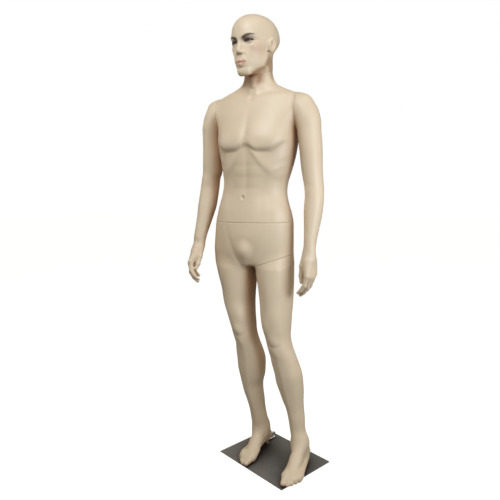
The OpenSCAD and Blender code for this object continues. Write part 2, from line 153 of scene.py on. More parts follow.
# ------------------------------------------------------------------ figure
TRUNK = Loft([
    (846, -88, 166, -70, 98, 2.3), (880, -89, 174, -86, 112, 2.35),
    (920, -90, 174, -95, 118, 2.35), (960, -87, 172, -100, 118, 2.35),
    (1000, -84, 170, -101, 115, 2.35), (1040, -82, 168, -98, 111, 2.35),
    (1080, -81, 159, -92, 106, 2.3), (1120, -82, 148, -85, 103, 2.25),
    (1160, -81, 140, -80, 104, 2.2), (1200, -76, 139, -82, 109, 2.2),
    (1240, -70, 146, -89, 115, 2.2), (1280, -67, 155, -95, 121, 2.2),
    (1320, -66, 163, -99, 127, 2.25), (1360, -66, 169, -100, 131, 2.3),
    (1400, -65, 169, -97, 132, 2.3), (1440, -65, 175.5, -86, 129, 2.35),
    (1480, -65, 189, -71, 119, 2.3), (1515, -65, 187, -55, 104, 2.3),
    (1543, -65, 176, -40, 90, 2.2), (1560, -65, 145, -33, 84, 2.1),
    (1577, -62, 104, -31, 82, 2.05), (1594, -60, 75, -33, 81, 2.0),
    (1620, -58, 60, -42, 74, 2.0), (1660, -58, 57.5, -55, 61, 2.0),
    (1700, -58, 57.5, -69, 47, 2.0)])
R_LEG = Loft([
    (60, -86, 37, 20, 96, 2), (90, -86, 38, 18, 100, 2), (120, -87.5, 37, 14, 95, 2),
    (160, -91, 35, 6, 90, 2), (200, -95, 33.5, -4, 88, 2), (240, -99, 36.5, -15, 86, 2),
    (280, -105.5, 40.5, -25, 84, 2), (320, -109, 44, -34, 86, 2.05), (360, -106.5, 52.5, -44, 86, 2.1),
    (400, -106.5, 58.5, -52, 82, 2.1), (440, -105.25, 59.75, -58, 74, 2.1), (480, -108.5, 56.5, -64, 62, 2.1),
    (520, -114.5, 48.5, -71, 56, 2.1), (560, -124, 47, -80, 55, 2.1), (600, -132.5, 49.5, -85, 66, 2.1),
    (650, -143, 54, -86, 78, 2.1), (700, -154, 62, -85, 91, 2.1), (760, -158, 69, -87, 99, 2.15),
    (820, -164, 81, -87, 104, 2.2), (880, -168, 90, -84, 106, 2.2), (930, -165, 84, -80, 100, 2.2)])
L_LEG = Loft([
    (60, 119, 34, -36, 32, 2), (90, 120, 35, -38, 40, 2), (120, 118, 33, -37, 37, 2),
    (160, 109, 33, -31, 43, 2), (200, 104, 35, -33, 51, 2), (240, 97, 37, -37, 57, 2),
    (280, 89, 44, -45, 61, 2), (320, 83, 51, -52, 64, 2.05), (360, 76, 56, -60, 64, 2.1),
    (400, 72, 57, -66, 58, 2.1), (440, 62, 56, -70, 50, 2.1), (480, 53, 53, -75, 42, 2.1),
    (520, 41, 50, -83, 44, 2.1), (560, 32, 50, -87, 52, 2.1), (600, 26, 56, -90, 66, 2.1),
    (650, 21, 62, -90, 78, 2.1), (700, 19, 66, -88, 90, 2.1), (760, 16, 70, -88, 98, 2.15),
    (820, 11, 75, -87, 104, 2.2), (880, 6, 78, -84, 107, 2.2), (930, 5, 76, -80, 100, 2.2)])
R_ARM = Loft([
    (900, -313, 27, -112, -54, 2), (930, -313, 26.5, -103, -46, 2), (950, -311, 26, -96, -39, 2),
    (980, -308.5, 27, -88, -28, 2), (1020, -305, 30.5, -76, -7, 2), (1060, -301.5, 34.5, -64, 13, 2),
    (1100, -300, 39.5, -51, 32, 2.05), (1140, -299, 40, -37, 46, 2.05), (1180, -299, 39, -26, 63, 2.05),
    (1220, -295, 38.5, -23, 68, 2.05), (1250, -288, 41, -22, 71, 2.05), (1320, -281, 41.5, -27, 71, 2.05),
    (1360, -280, 40, -31, 72, 2.05), (1400, -279.5, 40, -35, 74, 2.1), (1440, -275, 43, -38, 77, 2.1),
    (1480, -262, 46, -37, 77, 2.1), (1505, -252, 45, -32, 72, 2.1), (1527, -248, 42, -20, 60, 2.05),
    (1541, -244, 29, -6, 46, 2), (1549, -241, 9, 8, 32, 2)])
L_ARM = Loft([
    (895, 171, 25, -61, -1, 2), (925, 171.5, 24.5, -54, 4, 2), (950, 172, 24.5, -48, 9, 2),
    (980, 172.5, 26, -44, 20, 2), (1020, 174, 30.5, -38, 33, 2), (1060, 175, 35, -33, 47, 2),
    (1100, 175.5, 37.5, -28, 56, 2.05), (1140, 177, 37, -24, 62, 2.05), (1180, 175, 38, -22, 67, 2.05),
    (1220, 169, 40, -21, 71, 2.05), (1260, 165, 42, -24, 73, 2.05), (1320, 162.5, 44, -29, 73, 2.05),
    (1360, 159, 45.5, -32, 74, 2.1), (1400, 155, 46.5, -35, 75, 2.1), (1440, 150, 50, -38, 77, 2.1),
    (1480, 137, 53, -37, 77, 2.1), (1505, 124, 52, -32, 72, 2.1), (1527, 117, 46, -20, 60, 2.05),
    (1541, 113, 33, -6, 46, 2), (1549, 110, 10, 8, 32, 2)])


def trunk(P):
    x, y, z = P[:, 0], P[:, 1], P[:, 2]
    xc, a, yf, yb, n = TRUNK.at(z)
    d = TRUNK(P)
    s = x - xc
    sa = np.abs(s)
    yc = (yf + yb) / 2
    fr = ss(-10, 45, yc - y)          # front
    bk = ss(-10, 45, y - yc)          # back
    r = np.zeros(len(P))
    # chest muscles
    zb = 1329 + 20 * (1 - ss(0, 52, sa)) + 33 * ss(94, 156, sa) - 3 * ss(-20, 60, s)
    pec = sig((z - zb) / 4.6) * (1 - ss(1372, 1520, z)) * (0.42 + 0.58 * sig((sa - 12) / 8.0)) * (1 - ss(108, 170, sa))
    r += 17 * pec * (0.50 + 0.50 * np.exp(-((z - 1362) / 54) ** 2)) * fr
    r -= 2.0 * g1(z, zb - 6, 8) * band(20, 122, sa, 10) * fr
    r -= 1.2 * g1(s, 0, 11) * band(1335, 1440, z, 22) * fr
    # collar bones, hollows, notch
    dd, t = segd(sa, z, (16, 1532), (150, 1546))
    r += 2.6 * np.exp(-(dd / 11) ** 2) * (1 - 0.7 * t) * fr
    r -= 2.6 * g2(sa, z, (118, 1500), (28, 28)) * fr
    r -= 2.0 * g2(sa, z, (62, 1558), (34, 12)) * fr
    r -= 3.6 * g2(s, z, (3, 1541), (15, 13)) * fr
    # belly
    r -= 1.1 * g1(s, 0, 9) * band(1165, 1305, z, 14) * fr
    for zr in (1268, 1222, 1178):
        r -= 1.1 * g1(z, zr, 10) * (1 - ss(40, 72, sa)) * fr
    r += 2.6 * g1(sa, 30, 22) * band(1150, 1300, z, 18) * fr
    r -= 1.7 * g1(sa, 70, 15) * band(1085, 1270, z, 26) * fr
    dl = z - (1326 - 98 * (1 - np.exp(-(sa / 62) ** 2)))
    r += 6.4 * sig(dl / 7.5) * np.exp(-(np.maximum(dl, 0) / 44) ** 2) * ss(4, 24, sa) * (1 - ss(88, 132, sa)) * fr
    for k, (sx, zz) in enumerate(((128, 1292), (136, 1262), (138, 1232))):
        dd, t = segd(sa, z, (sx - 18, zz - 9), (sx + 14, zz + 8))
        r += 1.2 * np.exp(-(dd / 11) ** 2) * fr
    r += 4.0 * g2(sa, z, (112, 1096), (42, 40)) * fr
    r += 2.0 * g2(s, z, (0, 1110), (60, 50)) * fr
    dn = np.hypot((s + 10) / 1.0, (z - 1142) / 1.2)
    r -= 4.6 * np.exp(-(dn / 5.5) ** 2) * fr
    r += 0.7 * np.exp(-((dn - 10) / 4.5) ** 2) * fr
    # lower belly and groin
    dd, t = segd(s, z, (-84, 1024), (-52, 940))
    de, te = segd(s, z, (-52, 940), (-24, 872))
    r -= (1.2 + 3.4 * ss(1010, 900, z)) * np.exp(-(np.minimum(dd, de) / 12) ** 2) * fr
    dd, t = segd(s, z, (80, 1015), (44, 925))
    de, te = segd(s, z, (44, 925), (20, 872))
    r -= (0.6 + 1.8 * ss(990, 890, z)) * np.exp(-(np.minimum(dd, de) / 12) ** 2) * fr
    r += 2.5 * g2(s, z, (0, 985), (48, 34)) * fr
    # back
    r -= 6.0 * g1(s, 0, 13) * band(1075, 1500, z, 26) * bk
    r += 4.5 * g1(sa, 30, 16) * band(1080, 1240, z, 26) * bk
    r += 7.0 * g2(sa, z, (78, 1420), (40, 58)) * bk
    dd, t = segd(sa, z, (52, 1350), (66, 1470))
    r -= 3.5 * np.exp(-(dd / 9) ** 2) * bk
    dd, t = segd(sa, z, (60, 1345), (128, 1385))
    r -= 3.0 * np.exp(-(dd / 10) ** 2) * bk
    dd, t = segd(sa, z, (70, 1476), (150, 1500))
    r += 3.0 * np.exp(-(dd / 10) ** 2) * bk
    r += 3.5 * g2(sa, z, (120, 1330), (34, 70)) * bk
    r -= 4.0 * g2(sa, z, (32, 1052), (10, 12)) * bk
    r += 17 * g2(sa, z, (70, 922), (56, 60)) * bk
    r -= 15 * g1(s, 0, 9) * band(872, 992, z, 12) * bk
    r -= 3.0 * g1(z, 868, 8) * band(20, 120, sa, 12) * bk
    return d - r


def neck_cords(P, f):
    q = cone(P, (-26, 20, 1650), (-49, -30, 1556), 12, 3)
    f = smin(f, q, 20)
    q = cone(P, (-92, 20, 1650), (-71, -30, 1556), 12, 3)
    f = smin(f, q, 20)
    q = cone(P, (-60, -38, 1606), (-60, -34, 1584), 12, 8)   # throat
    return smin(f, q, 16)


def arm_r(P):
    x, y, z = P[:, 0], P[:, 1], P[:, 2]
    d = smax(R_ARM(P), z - 1550, 3)
    xc, a, yf, yb, n = R_ARM.at(z)
    r = 3.0 * g2(y, z, (yf.mean() * 0 - 30, 1310), (26, 55))
    r = r - 2.2 * g2(x, z, (-300, 1402), (26, 30)) * ss(-5, -30, y)
    r = r + 2.5 * g2(y, z, (72, 1330), (26, 60))
    r = r + 3.0 * g3(P, (-322, 10, 1130), (20, 26, 50))
    r = r - 2.5 * g3(P, (-285, -40, 1190), (26, 18, 14))
    r = r + 2.5 * g3(P, (-298, 62, 1192), (14, 14, 14))
    return d - r


def arm_l(P):
    x, y, z = P[:, 0], P[:, 1], P[:, 2]
    d = smax(L_ARM(P), z - 1550, 3)
    r = 3.0 * g2(y, z, (-30, 1310), (26, 55))
    r = r - 2.2 * g2(x, z, (172, 1402), (26, 30)) * ss(-5, -30, y)
    r = r + 2.5 * g2(y, z, (72, 1330), (26, 60))
    r = r + 3.0 * g3(P, (200, 8, 1130), (20, 26, 50))
    r = r - 2.5 * g3(P, (166, -30, 1188), (26, 18, 14))
    r = r + 2.5 * g3(P, (178, 62, 1192), (14, 14, 14))
    return d - r


LSH, RSH = A(107, 20, 1490), A(-237, 20, 1490)


def f_torso(P):
    f = trunk(P)
    f = neck_cords(P, f)
    near = (P[:, 2] > 1385)
    if near.any():
        Q = P[near]
        b = smin(smin(f[near], arm_l(Q) + 0.0, 14), arm_r(Q), 14)
        w = ss(1402, 1426, Q[:, 2])
        f[near] = f[near] * (1 - w) + b * w
    return f


def shoulder_mix(P, arm, sx):
    "arm surface that meets the torso's outline on the seam plane"
    f = arm(P)
    near = (P[:, 2] > 1385) & (np.abs(P[:, 0] - sx) < 60)
    if near.any():
        Q = P[near]
        b = smin(f[near], trunk(Q), 14)
        w = ss(1402, 1426, Q[:, 2]) * (1 - ss(14, 50, np.abs(Q[:, 0] - sx)))
        f[near] = f[near] * (1 - w) + b * w
    return f


def f_larm(P):
    return shoulder_mix(P, arm_l, 107)


def f_rarm(P):
    return shoulder_mix(P, arm_r, -237)


def foot(P, heel, f, side, out):
    "side +1: big toe towards +X"
    f = A(*f); f = f / np.linalg.norm(f)
    h = A(*heel)
    q = P - h
    s = q[:, 0] * f[0] + q[:, 1] * f[1]
    m = side * (-q[:, 0] * f[1] + q[:, 1] * f[0]) + out
    z = P[:, 2] - 12 * np.clip(1 - s / 178, 0, 1)
    L = np.stack([s, m, z], 1)
    d = ell(L, (33, 0, 34), (33, 29, 33))
    d = smin(d, cone(L, (44, 0, 42), (150, 3, 30), 27, 25), 18)
    d = smin(d, cone(L, (62, 0, 92), (128, 5, 52), 31, 22), 18)
    d = smin(d, cone(L, (128, 5, 52), (178, 8, 26), 22, 19), 16)
    d = smin(d, ell(L, (184, 1, 21), (38, 37, 17)), 12)
    d = smin(d, cone(L, (60, -13, 22), (172, -27, 15), 20, 14), 12)
    d = smin(d, cone(L, (150, 16, 26), (196, 25, 19), 19, 16), 12)
    toes = cone(L, (196, 25, 18), (241, 22, 13.5), 15, 11.5)
    for a, b, ra, rb in (((196, 7, 18), (240, 5, 11), 10.5, 8.6), ((190, -7, 17), (228, -8, 10.5), 10.5, 8.2),
                         ((180, -19, 16), (212, -20, 10), 10, 7.8), ((166, -29, 14), (195, -31, 9.5), 10, 7.6)):
        toes = smin(toes, cone(L, a, b, ra, rb), 5.5)
    d = smin(d, toes, 11)
    d = smax(d, 3.2 - z, 4)
    # nails
    for c, w in (((247, 22, 19), (7, 7, 3.5)), ((246, 4, 15), (4.5, 4.5, 3)), ((238, -10, 14), (4.2, 4.2, 3))):
        d = d + 0.3 * np.exp(-(((L - A(*c)) / A(*w)) ** 2).sum(1) ** 2)
    return d


def leg_relief(P, which):
    x, y, z = P[:, 0], P[:, 1], P[:, 2]
    L = R_LEG if which == "r" else L_LEG
    xc, a, yf, yb, n = L.at(z)
    sd = 1 if which == "r" else -1        # towards the other leg
    m = sd * (x - xc)
    fr = ss(-12, 25, (yf + yb) / 2 - y)
    bk = 1 - fr
    kz = 588 if which == "r" else 556
    r = 4.6 * g2(m, z, (0, kz), (21, 23)) * fr
    r -= 1.8 * np.exp(-((z - (kz - 27 + 0.012 * m ** 2)) / 9) ** 2) * (1 - ss(20, 38, np.abs(m))) * fr
    r -= 1.8 * g2(np.abs(m), z, (29, kz + 6), (11, 24)) * fr
    r += 3.0 * g2(m, z, (0, kz - 58), (15, 20)) * fr
    r += 5.0 * g2(m, z, (28, kz + 62), (20, 42)) * fr
    r += 3.0 * g2(m, z, (-28, kz + 90), (22, 60)) * fr
    r += 2.5 * g1(m, 0, 22) * band(kz + 90, kz + 260, z, 30) * fr
    r += 2.4 * g1(m, 6, 11) * band(170, kz - 90, z, 40) * fr
    r -= 1.6 * g1(m, 22, 12) * band(240, kz - 100, z, 40) * fr
    r += 4.0 * g2(np.abs(m), z, (22, 420), (20, 62)) * bk
    r -= 3.5 * g2(m, z, (0, kz - 4), (24, 24)) * bk
    r += 2.2 * g2(np.abs(m), z, (30, kz - 6), (9, 46)) * bk
    return r


def ankle(P, f, c, sd):
    f = smin(f, ball(P, (c[0] + sd * 22, c[1] - 6, 96), 8), 20)
    return smin(f, ball(P, (c[0] - sd * 22, c[1] + 4, 86), 7), 20)


def f_rleg(P):
    f = smax(R_LEG(P) - leg_relief(P, "r"), 66 - P[:, 2], 10)
    f = smax(f, P[:, 2] - 925, 10)
    lo = P[:, 2] < 190
    if lo.any():
        Q = P[lo]
        g = smin(f[lo], foot(Q, (-73, 124, 0), (-0.095, -1), 1, 5), 26)
        f[lo] = ankle(Q, g, (-88, 60), 1)
    return f


def f_lleg(P):
    f = smax(L_LEG(P) - leg_relief(P, "l"), 66 - P[:, 2], 10)
    f = smax(f, P[:, 2] - 925, 10)
    lo = P[:, 2] < 190
    if lo.any():
        Q = P[lo]
        g = smin(f[lo], foot(Q, (126, 56, 0), (0.055, -1), -1, 1), 26)
        f[lo] = ankle(Q, g, (120, 1), -1)
    return f


def f_trunk_low(P):
    f = smax(trunk(P), 860 - P[:, 2], 16)
    return smin(f, ell(P, (-86, -70, 930), (32, 40, 40)), 22)


def thigh_gap(P, f):
    "the slot between the thighs, so that each thigh keeps its own skin"
    w = np.maximum(np.abs(P[:, 0] + 74) - 4.5, np.abs(P[:, 2] - 826) - 35)
    return smax(f, -w, 5)


def f_lower(P):
    t = f_trunk_low(P)
    far = P[:, 2] < 800
    out = np.empty(len(P))
    rl = f_rleg(P)
    ll = np.full(len(P), 1e3)
    up = P[:, 2] > 790
    if up.any():
        ll[up] = f_lleg(P[up])
    w = 24 * ss(845, 925, P[:, 2])          # the thighs sink into the pelvis
    out = np.minimum(smin(t, rl + w, 22), smin(t, ll + w, 22))
    out[far] = rl[far]
    return thigh_gap(P, out)


def f_lleg_piece(P):
    t = f_trunk_low(P)
    ll = f_lleg(P)
    out = smin(t, ll + 24 * ss(845, 925, P[:, 2]), 22)
    far = P[:, 2] < 780
    out[far] = ll[far]
    return thigh_gap(P, out)


# ------------------------------------------------------------------ hands
def basis(d, t):
    d = unit(d)
    t = A(*t) - (A(*t) @ d) * d
    t = unit(t)
    return d, t, np.cross(d, t)


def finger(L, root, lens, rad, curl, splay, k=2.5):
    p = A(*root)
    ang = 0
    d = None
    for i, ln in enumerate(lens):
        ang += math.radians(curl[i])
        u = A(math.cos(ang), math.tan(math.radians(splay)), math.sin(ang))
        e = p + u / np.linalg.norm(u) * ln
        c = cone(L, p, e, rad[i], rad[i + 1])
        d = c if d is None else smin(d, c, k)
        p = e
    return d


def hand(P, W, d, t, pn, ln=1.0, bend=0.0, tp=6.0):
    "L holds along the hand, towards the thumb, and out of the palm"
    B = np.stack([d, t, pn], 1)
    L = (P - W) @ B
    L[:, 0] = L[:, 0] / ln
    f = ell(L, (58, 0, 1), (60, 35, 15.5))
    f = smin(f, cone(L, (-36, 0, 0), (26, 1, 0), 24, 20), 22)
    f = smin(f, cone(L, (34, 16, 1), (92, 25, -1), 13, 11), 12)
    f = smin(f, cone(L, (34, 0, -2), (96, 7, -2), 13, 11), 12)
    f = smin(f, cone(L, (32, -13, -1), (91, -11, -2), 13, 10.5), 12)
    f = smin(f, cone(L, (26, -20, 4), (82, -25, 1), 12, 9.8), 12)
    f = smin(f, cone(L, (20, -15, 9), (58, -21, 8), 13.5, 10), 14)     # heel of the palm
    f = smin(f, cone(L, (-14, 2, 9), (24, 2, 13), 16, 14), 14)
    f = f + 3.5 * g3(L, (70, -2, 17), (22, 18, 9))                   # hollow of the palm
    fingers = None
    for root, lens, rad, c, sp in (
            ((92, 25, -1), (40, 25, 20), (10.4, 9.6, 8.8, 6.8), (19, 25, 12), 0.0),
            ((96, 7, -2), (44, 28, 21), (10.4, 9.7, 8.9, 6.8), (20, 24, 12), -0.3),
            ((91, -11, -2), (41, 26, 20), (10.0, 9.3, 8.5, 6.6), (21, 25, 12), -0.6),
            ((82, -25, 1), (33, 20, 18), (9.2, 8.4, 7.8, 6.0), (22, 25, 12), -0.8)):
        q = finger(L, root, lens, rad, [v + bend for v in c], sp)
        fingers = q if fingers is None else smin(fingers, q, 1.2)
    f = smin(f, fingers, 5)
    th = smin(cone(L, (-4, 6, 10), (52, 18, 20 + tp * 0.8), 17, 13.5),
              cone(L, (52, 18, 20 + tp * 0.8), (90, 20, 25 + tp), 12.3, 10.6), 6)
    th = smin(th, cone(L, (90, 20, 25 + tp), (115, 21, 24 + tp), 10.4, 8.0), 4)
    f = smin(f, th, 7)
    return f


LWR, LWD = A(175, -18, 958), unit((0, -0.249, -0.968))
RWR, RWD = A(-310.6, -61, 968), unit((-0.067, -0.346, -0.936))
LH = basis((0.07, -0.12, -0.985), (-0.35, -0.93, 0))
RH = basis((-0.16, -0.45, -0.88), (0.35, -0.93, 0))


def f_lhand(P):
    d, t, c = LH
    pn = -c if c[0] > 0 else c           # palm looks towards the body
    f = hand(P, LWR + LWD * 38, d, t, pn)
    w = ss(0, 40, (P - LWR) @ LWD)
    return f * w + smax(L_ARM(P), (P - LWR) @ LWD - 60, 20) * (1 - w)


def f_rhand(P):
    d, t, c = RH
    pn = c if c[0] > 0 else -c
    f = hand(P, RWR + RWD * 34, d, t, pn, 0.88, 1, 3.5)
    w = ss(0, 36, (P - RWR) @ RWD)
    return f * w + smax(R_ARM(P), (P - RWR) @ RWD - 60, 20) * (1 - w)


# ------------------------------------------------------------------ head
NECK = A(-60, 8, 1638)
NECKD = unit((0, -0.258819, 0.965926))
HEAD_O = A(-62, -8, 0)
YAW = math.radians(-12.5)


def to_head(P):
    q = P - HEAD_O
    c, s = math.cos(-YAW), math.sin(-YAW)
    return np.stack([q[:, 0] * c - q[:, 1] * s, q[:, 0] * s + q[:, 1] * c, q[:, 2]], 1)


EYE_X, EYE_Z, EYE_W = 34.0, 1737.0, 16.5


def lids(u, side=1):
    "upper and lower edge of the eye opening, u outwards from its middle"
    t = np.clip(u / EYE_W, -1.05, 1.05)
    up = 4.2 * (1 - np.abs(t + 0.12) ** 2.1) + 1.8 * t
    lo = -3.4 * (1 - np.abs(t - 0.10) ** 2.3) + 1.8 * t
    return up, lo


def head(P):
    H = to_head(P)
    S = H.copy()
    S[:, 0] = np.abs(H[:, 0])           # both sides alike
    x, y, z = S[:, 0], S[:, 1], S[:, 2]
    f = ell(S, (0, 10, 1764), (83, 112, 86))
    f = smin(f, ell(S, (0, 6, 1790), (74, 96, 62)), 16)
    f = smin(f, ell(S, (0, -34, 1780), (64, 68, 58)), 22)
    f = smin(f, ell(S, (0, -32, 1706), (59, 66, 82)), 22)
    f = smin(f, cone(S, (13, -66, 1633), (42, -22, 1664), 18, 15), 14)
    f = smin(f, cone(S, (42, -22, 1664), (58, 6, 1706), 15, 13), 14)
    f = smin(f, ell(S, (0, -73, 1633), (27, 18, 20)), 14)
    f = smin(f, ell(S, (42, -60, 1717), (17, 19, 16)), 20)
    f = smin(f, cone(S, (12, -92, 1753), (46, -78, 1758), 8, 8), 16)
    # back of the head and nape
    f = smin(f, cone(S, (0, 33, 1700), (0, 31, 1655), 52, 52), 18)
    f = f + 11.0 * g3(S, (36, 92, 1719), (62, 42, 27))
    f = smin(f, cone(P, NECK - NECKD * 20, NECK + NECKD * 8, 57.5, 56.5), 10)
    # temples, cheeks
    f = smin(f, ell(S, (0, -38, 1682), (57, 57, 54)), 16)
    f = f + 2.8 * g3(S, (74, -48, 1765), (18, 28, 24)) + 0.8 * g3(S, (54, -56, 1684), (20, 26, 20))
    # sockets
    f = f + 7.5 * g3(S, (31, -94, 1740), (19, 16, 12))
    f = f + 4.0 * g3(S, (18, -94, 1742), (7, 12, 9))
    e = ball(S, (EYE_X, -77.5, EYE_Z), 15.4)
    f = smin(f, e, 3.0)
    # nose
    f = smin(f, cone(S, (0, -91, 1754), (0, -105.5, 1708), 6.4, 7.6), 12)
    f = smin(f, ball(S, (0, -108.5, 1701), 8.8), 8)
    f = smin(f, ell(S, (11.0, -98.0, 1695.5), (7.6, 9.5, 7.0)), 6)
    f = smax(f, -ell(S, (6.2, -102, 1689.5), (3.2, 5.4, 3.6)), 1.5)
    # mouth
    up = cone(S, (0, -98.0, 1667.5), (23, -87, 1662), 5.4, 1.8)
    lo = cone(S, (0, -96.5, 1652.5), (19, -86.5, 1657.5), 6.9, 2.2)
    f = smin(f, ell(S, (0, -81, 1663), (33, 17, 23)), 14)
    f = smin(f, up, 4.5)
    f = smin(f, lo, 4.5)
    zm = 1660.2 + 0.003 * x ** 2 - 0.6 * np.exp(-(x / 5) ** 2)
    fr = ss(-60, -80, y)
    f = f + 1.8 * np.exp(-((z - zm) / 1.4) ** 2) * (1 - ss(21, 27, x)) * fr
    f = f + 1.2 * np.exp(-(x / 3.4) ** 2) * band(1669, 1684, z, 2.5) * fr
    f = f + 3.4 * g3(S, (0, -95, 1641.5), (18, 16, 5))
    f = f + 1.4 * g3(S, (28, -83, 1660), (6, 10, 8))
    dn, t = segd(x, z, (16, 1693), (31, 1668))
    f = f + 0.9 * np.exp(-(dn / 5.0) ** 2) * fr
    # eyelids
    u = x - EYE_X
    w = z - EYE_Z
    ue, le = lids(u)
    fe = ss(-55, -70, y) * (1 - ss(14, 21, np.abs(u)))
    du, dl = w - ue, le - w
    out = np.maximum(du, dl)
    f = f - 1.5 * ss(-0.5, 0.9, out) * (1 - ss(4.5, 10, out)) * fe
    f = f + 1.0 * np.exp(-((du - 6.2) / 1.8) ** 2) * fe * (1 - ss(12, 18, np.abs(u)))
    # ears
    c = A(79, 1, 1729)
    ta = math.radians(12)
    q = S - c
    v = q[:, 2] * math.cos(ta) + q[:, 1] * math.sin(ta)
    h = q[:, 1] * math.cos(ta) - q[:, 2] * math.sin(ta)
    flare = q[:, 0] - 0.16 * (h + 10)
    E = np.stack([flare, h, v], 1)
    wv = 17.0 - 4.5 * ss(5, -26, v)
    rad = np.hypot(h / wv, v / 27.0)
    ear = smax((rad - 1) * 16, np.abs(flare) - 4.6, 3.5)
    ear = ear - 1.9 * np.exp(-((rad - 0.84) / 0.12) ** 2) * (flare > -3)
    cn = np.hypot((h + 3) / 8.0, (v + 4) / 12.0)
    ear = ear + 5.0 * np.exp(-(cn ** 3)) * ss(-3, 3, flare)
    ear = ear - 2.0 * np.exp(-((cn - 1.15) / 0.22) ** 2) * ss(-3, 3, flare) * (h > -4)
    ear = smin(ear, ell(E, (-2, -12, -2), (4, 4.5, 6.5)), 3)
    return smin(f, ear, 4.5 + 8 * ss(2, -14, h) * ss(22, 8, v) + 4 * ss(-12, -25, v))


def f_head(P):
    return head(P)


# ------------------------------------------------------------------ mesher
def feval(f, P):
    n = len(P)
    if n <= 150000:
        return f(P)
    out = np.empty(n)
    for i in range(0, n, 150000):
        out[i:i + 150000] = f(P[i:i + 150000])
    return out


def grid_mesh(f, lo, hi, h, block=4, lip=1.7):
    lo = np.array(lo, float)
    n = (np.ceil((np.array(hi, float) - lo) / h / block).astype(int)) * block
    nb = n // block
    c = [lo[i] + (np.arange(nb[i]) + 0.5) * block * h for i in range(3)]
    X, Y, Z = np.meshgrid(*c, indexing="ij")
    dc = feval(f, np.stack([X, Y, Z], -1).reshape(-1, 3))
    near = np.abs(dc) < block * h * 0.87 * lip
    sgn = np.where(dc > 0, 1e3, -1e3).reshape(nb).astype(np.float32)
    F = np.full(n + 1, 1e3, np.float32)
    F[:-1, :-1, :-1] = np.repeat(np.repeat(np.repeat(sgn, block, 0), block, 1), block, 2)
    idx = np.argwhere(near.reshape(nb))
    off = np.stack(np.meshgrid(*[np.arange(block + 1)] * 3, indexing="ij"), -1).reshape(-1, 3)
    I = (idx[:, None, :] * block + off[None]).reshape(-1, 3)
    key = np.unique((I[:, 0] * (n[1] + 1) + I[:, 1]) * (n[2] + 1) + I[:, 2])
    i0 = key // ((n[1] + 1) * (n[2] + 1))
    rem = key % ((n[1] + 1) * (n[2] + 1))
    i1 = rem // (n[2] + 1)
    i2 = rem % (n[2] + 1)
    v = feval(f, lo + np.stack([i0, i1, i2], 1) * h)
    F[i0, i1, i2] = v
    S = F < 0
    cnt = np.zeros(n, np.int8)
    for dx in (0, 1):
        for dy in (0, 1):
            for dz in (0, 1):
                cnt += S[dx:n[0] + dx, dy:n[1] + dy, dz:n[2] + dz]
    act = (cnt > 0) & (cnt < 8)
    ids = np.full(n, -1, np.int64)
    C = np.argwhere(act)
    ids[act] = np.arange(len(C))
    acc = np.zeros((len(C), 3))
    num = np.zeros(len(C))
    corners = [(a, b, c) for a in (0, 1) for b in (0, 1) for c in (0, 1)]
    for a in corners:
        for ax in range(3):
            if a[ax]:
                continue
            b = list(a)
            b[ax] = 1
            va = F[C[:, 0] + a[0], C[:, 1] + a[1], C[:, 2] + a[2]].astype(float)
            vb = F[C[:, 0] + b[0], C[:, 1] + b[1], C[:, 2] + b[2]].astype(float)
            x = (va < 0) != (vb < 0)
            t = va[x] / (va[x] - vb[x])
            p = np.tile(A(*a), (x.sum(), 1))
            p[:, ax] += t
            acc[x] += p
            num[x] += 1
    V = lo + (C + acc / num[:, None]) * h
    quads = []
    for ax in range(3):
        s0 = [slice(None)] * 3
        s1 = [slice(None)] * 3
        s0[ax] = slice(0, -1)
        s1[ax] = slice(1, None)
        a, b = S[tuple(s0)], S[tuple(s1)]
        E = np.argwhere(a != b)
        o1, o2 = (ax + 1) % 3, (ax + 2) % 3
        ok = (E[:, o1] > 0) & (E[:, o2] > 0) & (E[:, o1] < n[o1]) & (E[:, o2] < n[o2])
        E = E[ok]
        q = []
        for da, db in ((-1, -1), (0, -1), (0, 0), (-1, 0)):
            K = E.copy()
            K[:, o1] += da
            K[:, o2] += db
            q.append(ids[K[:, 0], K[:, 1], K[:, 2]])
        q = np.stack(q, 1)
        inside = a[E[:, 0], E[:, 1], E[:, 2]]
        q[~inside] = q[~inside][:, ::-1]
        quads.append(q)
    Q = np.concatenate(quads)
    Q = Q[(Q >= 0).all(1)]
    return V, Q


def grad(f, V, e=0.35):
    g = np.empty_like(V)
    for k in range(3):
        d = np.zeros(3)
        d[k] = e
        g[:, k] = (feval(f, V + d) - feval(f, V - d)) / (2 * e)
    return g


def project(f, V, it=2, cap=2.5):
    for _ in range(it):
        v = feval(f, V)
        g = grad(f, V)
        n2 = np.maximum((g * g).sum(1), 0.05)
        st = -(v / n2)[:, None] * g
        ln = np.linalg.norm(st, axis=1)
        st *= np.minimum(1, cap / np.maximum(ln, 1e-9))[:, None]
        V = V + st
    return V


def relax(V, Q, it=1, w=0.5):
    for _ in range(it):
        acc = np.zeros_like(V)
        num = np.zeros(len(V))
        for a, b in ((0, 1), (1, 2), (2, 3), (3, 0)):
            np.add.at(acc, Q[:, a], V[Q[:, b]])
            np.add.at(acc, Q[:, b], V[Q[:, a]])
            np.add.at(num, Q[:, a], 1)
            np.add.at(num, Q[:, b], 1)
        V = V * (1 - w) + w * acc / num[:, None]
    return V


